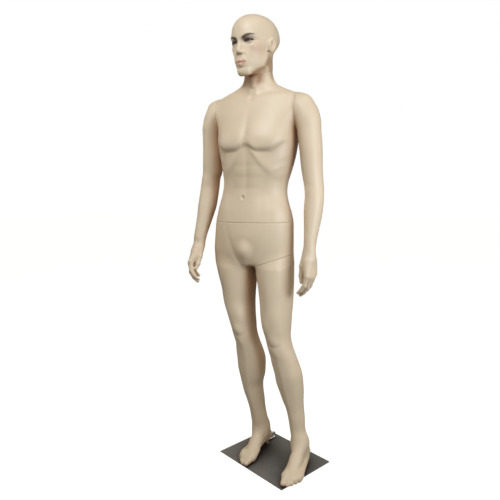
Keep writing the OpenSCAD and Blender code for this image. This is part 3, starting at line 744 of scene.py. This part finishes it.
def build(name, f, lo, hi, h, seams, refine=(), keep_low=None, relax_n=2):
    """Meshes a field. seams: (point, direction out of the piece). The skin is
    rolled in at each seam, then the seam is closed with a flat wall."""
    V, Q = grid_mesh(f, lo, hi, h)
    V = relax(V, Q, relax_n, 0.5)
    V = project(f, V, 2, h)
    me = bpy.data.meshes.new(name)
    me.from_pydata((V).tolist(), [], Q.tolist())
    bm = bmesh.new()
    bm.from_mesh(me)
    bpy.data.meshes.remove(me)
    # keep the biggest island only
    for test in refine:
        co = np.array([v.co[:] for v in bm.verts])
        m = test(co)
        es = [e for e in bm.edges if m[e.verts[0].index] and m[e.verts[1].index]]
        bmesh.ops.subdivide_edges(bm, edges=es, cuts=1, use_grid_fill=True)
        bm.verts.index_update()
        bm.verts.ensure_lookup_table()
    for p, d, far, gr in seams:
        p, d = A(*p), unit(d)
        pv, dv = Vector(p), Vector(d)
        keep = keep_low if d[2] < -0.5 else None
        for off in (-6.0, -3.2, -1.9, -0.9, 0.0):
            geom = [fc for fc in bm.faces if (keep is None or keep(fc.calc_center_median()))
                    and abs((fc.calc_center_median() - pv).dot(dv)) < 60]
            ed = {e for fc in geom for e in fc.edges}
            vs = {v for fc in geom for v in fc.verts}
            q = pv + dv * off
            for v in vs:                      # avoid slivers
                t = (v.co - q).dot(dv)
                if abs(t) < 0.22 * h * (1 if off in (-6.0, 0.0) else 0.4):
                    v.co -= dv * t
            bmesh.ops.bisect_plane(bm, geom=list(vs) + list(ed) + geom, dist=1e-4,
                                   plane_co=q, plane_no=dv)
        kill = [v for v in bm.verts if (v.co - pv).dot(dv) > 1e-3 and (keep is None or keep(v.co))
                and (v.co - pv).length < far]
        bmesh.ops.delete(bm, geom=kill, context="VERTS")
        flat = [fc for fc in bm.faces if all(abs((v.co - pv).dot(dv)) < 2e-3 for v in fc.verts)
                and (keep is None or keep(fc.calc_center_median())) and (fc.verts[0].co - pv).length < far]
        bmesh.ops.delete(bm, geom=flat, context="FACES")
        bmesh.ops.delete(bm, geom=[e for e in bm.edges if e.is_wire], context="EDGES")
        bmesh.ops.delete(bm, geom=[v for v in bm.verts if not v.link_faces], context="VERTS")
        bm.verts.index_update()
    # drop strays
    bm.verts.index_update()
    seen, best = set(), []
    for v in bm.verts:
        if v in seen:
            continue
        st, comp = [v], []
        seen.add(v)
        while st:
            a = st.pop()
            comp.append(a)
            for e in a.link_edges:
                o = e.other_vert(a)
                if o not in seen:
                    seen.add(o)
                    st.append(o)
        if len(comp) > len(best):
            best = comp
    bs = set(best)
    bmesh.ops.delete(bm, geom=[v for v in bm.verts if v not in bs], context="VERTS")
    # final fit to the field, with the lip rolled in along each seam
    bm.verts.index_update()
    co = np.array([v.co[:] for v in bm.verts])

    def fg(P):
        v = feval(f, P)
        for p, d, far, gr in seams:
            t = (P - A(*p)) @ unit(d)
            near = np.linalg.norm(P - A(*p), axis=1) < far
            v = v + np.where(near, gr * np.exp(-(t / 1.5) ** 2), 0)
        return v
    new = project(fg, co, 3, 2.0)
    for p, d, far, gr in seams:
        p, d = A(*p), unit(d)
        t0 = (co - p) @ d
        near = (np.linalg.norm(co - p, axis=1) < far) & (t0 > -6.1)
        mv = ((new - co) @ d)
        new[near] -= mv[near][:, None] * d          # slide only inside the seam's planes
    for v, c in zip(bm.verts, new):
        v.co = c
    bound = [e for e in bm.edges if e.is_boundary]
    if bound:
        bmesh.ops.holes_fill(bm, edges=bound, sides=0)
        bound = [e for e in bm.edges if e.is_boundary]
        if bound:
            say(name, "second fill of", len(bound), "edges")
            bmesh.ops.triangle_fill(bm, edges=bound, use_beauty=True)
    bmesh.ops.recalc_face_normals(bm, faces=bm.faces[:])
    bm.verts.index_update()
    co = np.array([v.co[:] for v in bm.verts])
    for v in bm.verts:
        v.co *= MM
    me = bpy.data.meshes.new(name)
    bm.to_mesh(me)
    bm.free()
    for p_ in me.polygons:
        p_.use_smooth = True
    ob = bpy.data.objects.new(name, me)
    bpy.context.scene.collection.objects.link(ob)
    say(name, len(me.vertices), "verts", len(me.polygons), "faces")
    return ob, co


def cutter(items):
    bm = bmesh.new()
    for p, d, r, a, b in items:          # cylinder about the line p + d t, t from a to b
        d = Vector(unit(d))
        q = d.to_track_quat("Z", "Y").to_matrix().to_4x4()
        M = Matrix.Translation((Vector(p) + d * ((a + b) / 2)) * MM) @ q
        bmesh.ops.create_cone(bm, cap_ends=True, segments=64, radius1=r * MM, radius2=r * MM,
                              depth=abs(b - a) * MM, matrix=M)
    me = bpy.data.meshes.new("cutter")
    bm.to_mesh(me)
    bm.free()
    ob = bpy.data.objects.new("cutter", me)
    bpy.context.scene.collection.objects.link(ob)
    return ob


def carve(ob, groups):
    for items in groups:
        c = cutter(items)
        n0 = len(ob.data.polygons)
        for solver in ("MANIFOLD", "EXACT"):
            m = ob.modifiers.new("cut", "BOOLEAN")
            m.operation = "DIFFERENCE"
            m.object = c
            m.solver = solver
            dg = bpy.context.evaluated_depsgraph_get()
            ev = ob.evaluated_get(dg)
            me = bpy.data.meshes.new_from_object(ev, preserve_all_data_layers=True, depsgraph=dg)
            ob.modifiers.clear()
            if len(me.polygons) > 0.5 * n0 and len(me.polygons) != n0:
                old = ob.data
                ob.data = me
                bpy.data.meshes.remove(old)
                break
            say("boolean", solver, "failed on", ob.name)
        bpy.data.objects.remove(c)
    for p_ in ob.data.polygons:
        p_.use_smooth = True
    ob.data.set_sharp_from_angle(angle=math.radians(48))


# ------------------------------------------------------------------ pieces
K = 1.0
WAIST = A(-82, 10, 1040)
THIGH, THD = A(6, 5, 878), unit((0.319, 0, -0.948))
HEEL, RODU = A(-73, 120, 30.1), unit((0.3907, 0.9205, 0))
UP = A(0, 0, 1)
GAP = 0.6
FINE = 0.15           # the neck and wrist joints close to a hairline


def seat(p, d, R, tube, depth=40):
    "the recess a fitting's disc sits in, and the hole behind it; d points out of the skin"
    return [[(p, d, R + 0.4, -3.6, 6)], [(p, d, tube, -depth, 0)]]


def low_half(c):
    return c[0] > -73.9


def make_lower():
    ob, co = build("lower_body_skin", f_lower, (-275, -150, -4), (125, 150, 1056), 3.4 * K,
                   [(WAIST, UP, 400, 1.3), (THIGH, THD, 180, 1.3)],
                   refine=[lambda c: c[:, 2] < 120],
                   keep_low=low_half)
    carve(ob, seat(WAIST, UP, 62, 39.4) + seat(THIGH, THD, 48, 30.4) + [[(HEEL, RODU, 8.4, -42.6, 14)]])
    return ob


def make_left_leg():
    ob, co = build("left_leg_skin", f_lleg_piece, (-72, -214, -4), (196, 150, 960), 3.0 * K,
                   [(THIGH + THD * GAP, -THD, 1e4, 1.0)],
                   refine=[lambda c: c[:, 2] < 120])
    carve(ob, seat(THIGH + THD * GAP, -THD, 48, 23.4))
    return ob


def make_torso():
    ob, co = build("torso_skin", f_torso, (-262, -150, 1024), (120, 150, 1652), 3.2 * K,
                   [(WAIST + UP * GAP, -UP, 400, 0.9), (LSH, (1, 0, 0), 210, 0.8), (RSH, (-1, 0, 0), 210, 0.8),
                    (NECK, NECKD, 150, 0.08)])
    carve(ob, seat(WAIST + UP * GAP, -UP, 62, 31.4) + seat(NECK, NECKD, 42, 26.4)
          + seat(LSH, (1, 0, 0), 36, 24.4) + seat(RSH, (-1, 0, 0), 36, 24.4))
    return ob


def make_head():
    def eyes(c, r=1.0):
        H = to_head(c)
        x = np.abs(H[:, 0])
        return (H[:, 1] < -55) & (np.hypot((x - 34) / (27 * r), (H[:, 2] - 1745) / (26 * r)) < 1)

    def mouth(c):
        H = to_head(c)
        return (H[:, 1] < -60) & (np.abs(H[:, 0]) < 32) & (np.abs(H[:, 2] - 1672) < 34)

    def ears(c):
        H = to_head(c)
        return (np.abs(H[:, 0]) > 74) & (np.abs(H[:, 2] - 1729) < 36) & (np.abs(H[:, 1] - 4) < 27)
    ob, co = build("head_skin", f_head, (-165, -145, 1590), (45, 125, 1860), 2.05 * K,
                   [(NECK + NECKD * FINE, -NECKD, 95, 0.08)],
                   refine=[lambda c: eyes(c) | mouth(c) | ears(c), lambda c: eyes(c, 0.92)],
                   relax_n=1)
    carve(ob, seat(NECK + NECKD * FINE, -NECKD, 42, 21.4))
    return ob


def make_arm(name, f, lo, hi, sh, sd, wr, wd):
    ob, co = build(name, f, lo, hi, 2.6 * K, [(A(*sh) + unit(sd) * -GAP, sd, 1e4, 0.8), (wr, wd, 1e4, 0.08)])
    carve(ob, seat(A(*sh) + unit(sd) * -GAP, sd, 36, 15.4) + seat(wr, wd, 17, 13.4))
    return ob


def make_hand(name, f, lo, hi, wr, wd):
    ob, co = build(name, f, lo, hi, 1.3 * K, [(wr + wd * FINE, -wd, 1e4, 0.08)], relax_n=1)
    carve(ob, seat(wr + wd * FINE, -wd, 17, 11.4))
    return ob


MAKERS = [
    ("torso", "torso_shell", make_torso),
    ("lower_body", "lower_body_shell", make_lower),
    ("lower_body", "left_leg_shell", make_left_leg),
    ("head", "head_shell", make_head),
    ("left_arm", "left_arm_shell", lambda: make_arm(
        "left_arm_skin", f_larm, (95, -80, 930), (225, 95, 1560), LSH, (-1, 0, 0), LWR, LWD)),
    ("right_arm", "right_arm_shell", lambda: make_arm(
        "right_arm_skin", f_rarm, (-360, -125, 935), (-225, 95, 1560), RSH, (1, 0, 0), RWR, RWD)),
    ("left_hand", "left_hand_shell", lambda: make_hand(
        "left_hand_skin", f_lhand, (95, -140, 730), (230, 40, 975), LWR, LWD)),
    ("right_hand", "right_hand_shell", lambda: make_hand(
        "right_hand_skin", f_rhand, (-390, -180, 735), (-250, 5, 985), RWR, RWD)),
]
skins = []
for body, node, make in MAKERS:
    ob = make()
    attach(ob, body)
    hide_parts(node)
    skins.append(ob)

# ------------------------------------------------------------------ finish
def new_mat(name):
    m = bpy.data.materials.new(name)
    m.use_nodes = True
    nt = m.node_tree
    b = nt.nodes["Principled BSDF"]
    return m, nt, b


def node(nt, kind, **kw):
    n = nt.nodes.new(kind)
    for k, v in kw.items():
        if k in n.inputs.keys():
            n.inputs[k].default_value = v
        else:
            setattr(n, k, v)
    return n


def lin(r, g, b):
    f = lambda c: ((c / 255 + 0.055) / 1.055) ** 2.4 if c > 10 else c / 255 / 12.92
    return (f(r), f(g), f(b), 1)


def noise(nt, scale, detail=4, rough=0.55, stretch=None, rot=None):
    tc = node(nt, "ShaderNodeTexCoord")
    mp = node(nt, "ShaderNodeMapping")
    if stretch:
        mp.inputs["Scale"].default_value = stretch
    if rot:
        mp.inputs["Rotation"].default_value = rot
    nt.links.new(tc.outputs["Object"], mp.inputs["Vector"])
    n = node(nt, "ShaderNodeTexNoise")
    n.inputs["Scale"].default_value = scale
    n.inputs["Detail"].default_value = detail
    n.inputs["Roughness"].default_value = rough
    nt.links.new(mp.outputs["Vector"], n.inputs["Vector"])
    return n.outputs["Fac"]


def ramp(nt, fac, stops):
    r = node(nt, "ShaderNodeValToRGB")
    e = r.color_ramp.elements
    while len(e) < len(stops):
        e.new(0.5)
    for k, (p, c) in enumerate(stops):
        e[k].position = p
        e[k].color = c
    nt.links.new(fac, r.inputs["Fac"])
    return r.outputs["Color"]


def bump(nt, b, height, strength, dist):
    n = node(nt, "ShaderNodeBump")
    n.inputs["Strength"].default_value = strength
    n.inputs["Distance"].default_value = dist
    nt.links.new(height, n.inputs["Height"])
    nt.links.new(n.outputs["Normal"], b.inputs["Normal"])


def grey(v):
    return (v, v, v, 1)


SKIN = lin(223, 203, 173)
# colour multiplied in for the painted shade in the hollows
CREASE_SHADE_PAINT = (0.76, 0.60, 0.50, 1)
# colour multiplied in for the painted shadow under the jaw
JAW_SHADOW_PAINT = (0.62, 0.49, 0.41, 1)


def skin_material(name, painted=False):
    m, nt, b = new_mat(name)
    big = noise(nt, 5.0, 3, 0.5)
    c0 = tuple(SKIN[i] * 0.965 for i in range(3)) + (1,)
    c1 = tuple(min(1, SKIN[i] * 1.03) for i in range(3)) + (1,)
    col = ramp(nt, big, [(0.35, c0), (0.65, c1)])
    rough = ramp(nt, noise(nt, 38.0, 5, 0.6), [(0.3, grey(0.40)), (0.7, grey(0.50))])
    if painted:
        for att, c in (("blush", lin(214, 160, 134)), ("shade", lin(92, 60, 54)), ("lip", lin(204, 148, 128)),
                       ("lipline", lin(150, 92, 80)), ("white", lin(150, 138, 128)), ("iris", lin(36, 25, 20)),
                       ("pupil", lin(18, 14, 12)), ("glint", lin(255, 255, 255)), ("brow", lin(54, 38, 31)),
                       ("liner", lin(34, 25, 22))):
            a = node(nt, "ShaderNodeAttribute")
            a.attribute_name = att
            mx = node(nt, "ShaderNodeMix")
            mx.data_type = "RGBA"
            nt.links.new(a.outputs["Fac"], mx.inputs[0])
            nt.links.new(col, mx.inputs[6])
            mx.inputs[7].default_value = c
            col = mx.outputs[2]
    # painted stand-in for the photo's shadow under the jaw
    a = node(nt, "ShaderNodeAttribute")
    a.attribute_name = "jaw_shadow_mask"
    mx = node(nt, "ShaderNodeMix")
    mx.data_type = "RGBA"
    mx.blend_type = "MULTIPLY"
    nt.links.new(a.outputs["Fac"], mx.inputs[0])
    nt.links.new(col, mx.inputs[6])
    mx.inputs[7].default_value = JAW_SHADOW_PAINT
    col = mx.outputs[2]
    # painted shade in the hollows: a warmer, darker colour where ambient occlusion is low
    ao = node(nt, "ShaderNodeAmbientOcclusion")
    ao.samples = 8
    ao.inputs["Distance"].default_value = 0.085
    dk = ramp(nt, ao.outputs["AO"], [(0.30, grey(1.0)), (0.92, grey(0.0))])
    mu = node(nt, "ShaderNodeMix")
    mu.data_type = "RGBA"
    mu.blend_type = "MULTIPLY"
    nt.links.new(dk, mu.inputs[0])
    nt.links.new(col, mu.inputs[6])
    mu.inputs[7].default_value = CREASE_SHADE_PAINT
    col = mu.outputs[2]
    nt.links.new(col, b.inputs["Base Color"])
    nt.links.new(rough, b.inputs["Roughness"])
    b.inputs["IOR"].default_value = 1.46
    b.inputs["Subsurface Weight"].default_value = 0.0
    b.inputs["Coat Weight"].default_value = 0.06
    b.inputs["Coat Roughness"].default_value = 0.3
    bump(nt, b, noise(nt, 420.0, 3, 0.6), 0.10, 0.0004)
    return m


def paint(ob):
    me = ob.data
    n = len(me.vertices)
    co = np.empty(n * 3)
    me.vertices.foreach_get("co", co)
    P = co.reshape(-1, 3) / MM
    H = to_head(P)
    x, y, z = np.abs(H[:, 0]), H[:, 1], H[:, 2]
    front = (y < -50).astype(float)
    u, w = x - EYE_X, z - EYE_Z
    ue, le = lids(u)
    inside = np.minimum(ue - w, w - le)
    near = (np.abs(u) < EYE_W + 1.5) * front
    eye = np.clip(inside / 0.5 + 0.5, 0, 1) * near
    # both eyes look the same way
    ux = H[:, 0] - np.sign(H[:, 0]) * EYE_X
    r = np.hypot(ux + 0.5, w - 0.8)
    iris = np.clip((8.6 - r) / 0.5 + 0.5, 0, 1) * eye
    pupil = np.clip((5.2 - r) / 0.5 + 0.5, 0, 1) * eye
    glint = np.clip((0.9 - np.hypot(ux + 2.3, w - 3.0)) / 0.4 + 0.5, 0, 1) * eye
    t = np.clip(u / EYE_W, -1, 1)
    wing = ss(0.7, 1.1, u / EYE_W) * (1 - ss(1.15, 1.35, u / EYE_W))
    lash = np.exp(-((w - ue - 0.8) / (2.8 + 0.9 * ss(-1, 1, t))) ** 2) * (np.abs(u) < EYE_W + 0.8)
    tail = np.exp(-((w - 1.3 - 0.45 * (u - EYE_W)) / 1.1) ** 2) * ss(EYE_W - 3, EYE_W, u) * (1 - ss(EYE_W + 2, EYE_W + 5.5, u))
    low = 0.95 * np.exp(-((w - le + 0.5) / 1.8) ** 2) * (np.abs(u) < EYE_W)
    liner = np.clip(lash + tail + low, 0, 1) * front
    zb = 1747.5 + 10.5 * np.sin(np.clip((x - 13) / 47, 0, 1) * math.pi * 0.66)
    hb = (2.6 + 2.1 * ss(15, 30, x)) * (1 - ss(36, 61, x) * 0.70)
    brow = np.clip((hb - np.abs(z - zb)) / 1.6 + 0.5, 0, 1) * ss(12, 15, x) * (1 - ss(56, 61, x)) * front
    hairs = 0.80 + 0.20 * np.sin(x * 2.2 + z * 3.1)
    brow = brow * hairs
    shade = np.clip(g2(u, w, (0, 6.0), (20, 7.0)) * (w > ue) * 0.95 + 0.5 * g2(u, w, (-16, 4), (8, 9))
                    + 0.12 * g2(u, w, (3, -6), (15, 4)), 0, 1) * front
    blush = 0.34 * g3(np.stack([x, y, z], 1), (56, -58, 1708), (24, 32, 22))
    zm = 1660.2 + 0.003 * x ** 2 - 0.6 * np.exp(-(x / 5) ** 2)
    up = zm + 8.8 * np.clip(1 - (x / 28.5) ** 2, 0, 1) ** 0.7 * (1 - 0.20 * np.exp(-(x / 4) ** 2))
    dn = zm - 12.0 * np.clip(1 - (x / 27.0) ** 2, 0, 1) ** 0.62
    lip = np.clip(np.minimum(up - z, z - dn) / 1.0 + 0.5, 0, 1) * (x < 28.5) * front * 0.62
    lipline = 0.75 * np.exp(-((z - zm) / 1.0) ** 2) * (1 - ss(23, 27, x)) * front
    for nm, v in (("blush", blush), ("shade", shade), ("lip", lip), ("lipline", lipline), ("white", eye * 0.9),
                  ("iris", iris), ("pupil", pupil), ("glint", glint), ("brow", brow), ("liner", liner)):
        a = me.attributes.new(nm, "FLOAT", "POINT")
        a.data.foreach_set("value", np.clip(v, 0, 1).astype(np.float32))


def paint_jaw_shadow(ob):
    """painted shadow under the jaw: darkens the neck and the jaw's underside where the jaw overhangs, a soft shadow
    cast along D at the rest pose
    """
    me = ob.data
    n = len(me.vertices)
    co, nr = np.empty(n * 3), np.empty(n * 3)
    me.vertices.foreach_get("co", co)
    me.vertices.foreach_get("normal", nr)
    P, N = co.reshape(-1, 3) / MM, nr.reshape(-1, 3)
    jaw_shadow_mask = np.zeros(n)
    m = (P[:, 2] > 1545) & (P[:, 2] < 1715)
    if m.any():
        Q, N = P[m], N[m]
        D = unit((0.20, -0.50, 0.84))
        lit = np.ones(len(Q))
        for t in (6, 10, 15, 21, 28, 36, 45, 55, 66, 78, 92, 108, 126):
            lit = np.minimum(lit, np.clip(feval(f_head, Q + N * 3 + D * t) * 4.5 / t, 0, 1))
        y = to_head(Q)[:, 1]
        gate = np.maximum(ss(-0.05, 0.25, N[:, 0] * D[0] + N[:, 1] * D[1]), ss(-0.3, -0.7, N[:, 2]))
        face = np.maximum(ss(-86, -72, y), ss(-0.2, -0.5, N[:, 2]) * (Q[:, 2] < 1640))
        jaw_shadow_mask[m] = (1 - lit) * gate * face * (1 - ss(1682, 1712, Q[:, 2])) * ss(1568, 1604, Q[:, 2])
    a = me.attributes.new("jaw_shadow_mask", "FLOAT", "POINT")
    a.data.foreach_set("value", jaw_shadow_mask.astype(np.float32))


skin = skin_material("skin_plastic_look")
face = skin_material("painted_skin_look", True)
for ob in skins:
    ob.data.materials.clear()
    ob.data.materials.append(face if ob.name.startswith("head") else skin)
    if ob.name.startswith("head"):
        paint(ob)
    # painted shadow under the jaw, on the head and on the torso's neck
    if ob.name.startswith(("head", "torso")):
        paint_jaw_shadow(ob)

m_plate, nt, b = new_mat("plate_steel_look")
b.inputs["Metallic"].default_value = 0.6
TURN = math.radians(-23)
grain = noise(nt, 34.0, 6, 0.7, (1.6, 38.0, 1.0), (0, 0, -TURN))
blot = noise(nt, 7.0, 4, 0.6)
mx = node(nt, "ShaderNodeMix")
mx.data_type = "RGBA"
mx.inputs[0].default_value = 0.35
nt.links.new(ramp(nt, grain, [(0.3, grey(0.13)), (0.7, grey(0.38))]), mx.inputs[6])
nt.links.new(ramp(nt, blot, [(0.3, lin(92, 87, 80)), (0.7, lin(158, 155, 149))]), mx.inputs[7])
ao = node(nt, "ShaderNodeAmbientOcclusion")          # darker near the feet: stands in for the photo's contact shadow
ao.samples = 8
ao.inputs["Distance"].default_value = 0.16
mu = node(nt, "ShaderNodeMix")
mu.data_type = "RGBA"
mu.blend_type = "MULTIPLY"
nt.links.new(ramp(nt, ao.outputs["AO"], [(0.40, grey(1.0)), (0.96, grey(0.0))]), mu.inputs[0])
nt.links.new(mx.outputs[2], mu.inputs[6])
mu.inputs[7].default_value = (0.12, 0.105, 0.09, 1)
nt.links.new(mu.outputs[2], b.inputs["Base Color"])
nt.links.new(ramp(nt, grain, [(0.3, grey(0.34)), (0.7, grey(0.52))]), b.inputs["Roughness"])
bump(nt, b, grain, 0.25, 0.0003)

m_rod, nt, b = new_mat("bright_steel_look")
b.inputs["Metallic"].default_value = 1.0
nt.links.new(ramp(nt, noise(nt, 60.0, 5, 0.6, (1, 1, 9)), [(0.3, lin(196, 192, 186)), (0.7, lin(224, 222, 218))]),
             b.inputs["Base Color"])
nt.links.new(ramp(nt, noise(nt, 90.0, 4, 0.6), [(0.3, grey(0.20)), (0.7, grey(0.34))]), b.inputs["Roughness"])
bump(nt, b, noise(nt, 300.0, 3, 0.6), 0.12, 0.0002)

m_fit, nt, b = new_mat("fitting_plastic_look")
nt.links.new(ramp(nt, noise(nt, 30.0, 4, 0.6), [(0.3, lin(214, 211, 202)), (0.7, lin(232, 230, 223))]),
             b.inputs["Base Color"])
nt.links.new(ramp(nt, noise(nt, 70.0, 4, 0.6), [(0.3, grey(0.42)), (0.7, grey(0.58))]), b.inputs["Roughness"])
bump(nt, b, noise(nt, 380.0, 3, 0.6), 0.12, 0.0003)

m_scr, nt, b = new_mat("screw_steel_look")
b.inputs["Metallic"].default_value = 1.0
nt.links.new(ramp(nt, noise(nt, 200.0, 5, 0.7), [(0.3, lin(150, 148, 140)), (0.7, lin(188, 184, 170))]),
             b.inputs["Base Color"])
nt.links.new(ramp(nt, noise(nt, 240.0, 4, 0.6), [(0.3, grey(0.26)), (0.7, grey(0.42))]), b.inputs["Roughness"])
bump(nt, b, noise(nt, 900.0, 3, 0.6), 0.15, 0.0002)

LOOK = {"plate_steel": m_plate, "bright_steel": m_rod, "fitting_plastic": m_fit, "screw_steel": m_scr,
        "skin_plastic": skin}
for name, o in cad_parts.items():
    if name == "base_plate":
        mt = m_plate
    elif name in ("heel_rod", "left_wrist_peg", "right_wrist_peg"):
        mt = m_rod
    elif name.endswith("_screws"):
        mt = m_scr
    elif name == "rod_clip":
        mt = m_rod
    elif name.endswith("_shell"):
        mt = skin
    else:
        mt = m_fit
    o.data.materials.clear()
    o.data.materials.append(mt)

# ------------------------------------------------------------------ studio
FLOOR_GLOW = 0.93
AMBIENT = 0.27
COOL, WARM = (0.92, 1.0, 1.12), (1.0, 0.90, 0.74)
LIGHTS = (("key", (0.05, -1.30, 2.69), (-0.05, 0, 1.5), 0.9, 14.5, COOL),
          ("front", (0.6, -2.7, 2.75), (-0.05, 0, 1.1), 1.3, 11.5),
          ("back_left", (-2.4, 2.01, 1.77), (-0.05, 0, 1.1), 1.3, 14, WARM),
          ("back_right", (2.7, 1.56, 1.5), (-0.05, 0, 0.9), 1.3, 10, WARM),
          ("top_right", (1.18, -0.21, 4.07), (-0.05, 0, 1.1), 1.3, 6, COOL),
          ("side_right", (1.45, -0.55, 1.25), (0.05, 0, 1.3), 0.9, 13.5, COOL),
          ("side_left", (-1.47, -0.85, 1.75), (-0.10, 0, 1.35), 0.9, 5.0))
sc = bpy.context.scene
bm = bmesh.new()
bmesh.ops.create_grid(bm, x_segments=2, y_segments=2, size=14)
me = bpy.data.meshes.new("floor")
bm.to_mesh(me)
bm.free()
floor = bpy.data.objects.new("floor", me)
sc.collection.objects.link(floor)
floor.location = (0, 0, -0.0005)
m_floor, nt, b = new_mat("floor_look")
b.inputs["Base Color"].default_value = (0.30, 0.30, 0.30, 1)
b.inputs["Roughness"].default_value = 0.9
b.inputs["Specular IOR Level"].default_value = 0.0
out = nt.nodes["Material Output"]
lp = nt.nodes.new("ShaderNodeLightPath")
em = nt.nodes.new("ShaderNodeEmission")
em.inputs["Strength"].default_value = FLOOR_GLOW
add = nt.nodes.new("ShaderNodeAddShader")
mxs = nt.nodes.new("ShaderNodeMixShader")
nt.links.new(b.outputs[0], add.inputs[0])
nt.links.new(em.outputs[0], add.inputs[1])
nt.links.new(lp.outputs["Is Camera Ray"], mxs.inputs[0])
nt.links.new(b.outputs[0], mxs.inputs[1])
nt.links.new(add.outputs[0], mxs.inputs[2])
nt.links.new(mxs.outputs[0], out.inputs["Surface"])
floor.data.materials.append(m_floor)

w = bpy.data.worlds.new("studio")
sc.world = w
w.use_nodes = True
nt = w.node_tree
bg = nt.nodes["Background"]
lp = nt.nodes.new("ShaderNodeLightPath")
tint = nt.nodes.new("ShaderNodeMix")
tint.data_type = "RGBA"
nt.links.new(lp.outputs["Is Camera Ray"], tint.inputs[0])
tint.inputs[6].default_value = WARM + (1,)
tint.inputs[7].default_value = (1, 1, 1, 1)
nt.links.new(tint.outputs[2], bg.inputs["Color"])
mth = nt.nodes.new("ShaderNodeMapRange")
nt.links.new(lp.outputs["Is Camera Ray"], mth.inputs["Value"])
mth.inputs["To Min"].default_value = AMBIENT
mth.inputs["To Max"].default_value = 1.0
nt.links.new(mth.outputs["Result"], bg.inputs["Strength"])


def area(name, loc, target, size, power, color=(1, 1, 1)):
    L = bpy.data.lights.new(name, "AREA")
    L.shape = "DISK"
    L.size = size
    L.energy = power
    L.color = color
    o = bpy.data.objects.new(name, L)
    o.location = loc
    o.rotation_euler = (Vector(target) - Vector(loc)).to_track_quat("-Z", "Y").to_euler()
    o.visible_camera = False
    sc.collection.objects.link(o)
    return o


for args in LIGHTS:
    area(*args)

cam = bpy.data.cameras.new("camera")
cam.sensor_width = 36
cam.lens = 492.7 * 36 / 500
cam.clip_end = 100
co_ = bpy.data.objects.new("camera", cam)
R_ = Vector((0.90369, 0.42795, -0.01418)).normalized()
F_ = Vector((-0.42585, 0.89482, -0.13399)).normalized()
U_ = R_.cross(F_).normalized()
M = Matrix((R_, U_, -F_)).transposed().to_4x4()
M.translation = Vector((0.79178, -1.87655, 1.1975))
co_.matrix_world = M
sc.collection.objects.link(co_)
sc.camera = co_
sc.view_settings.view_transform = "Standard"
sc.view_settings.look = "None"
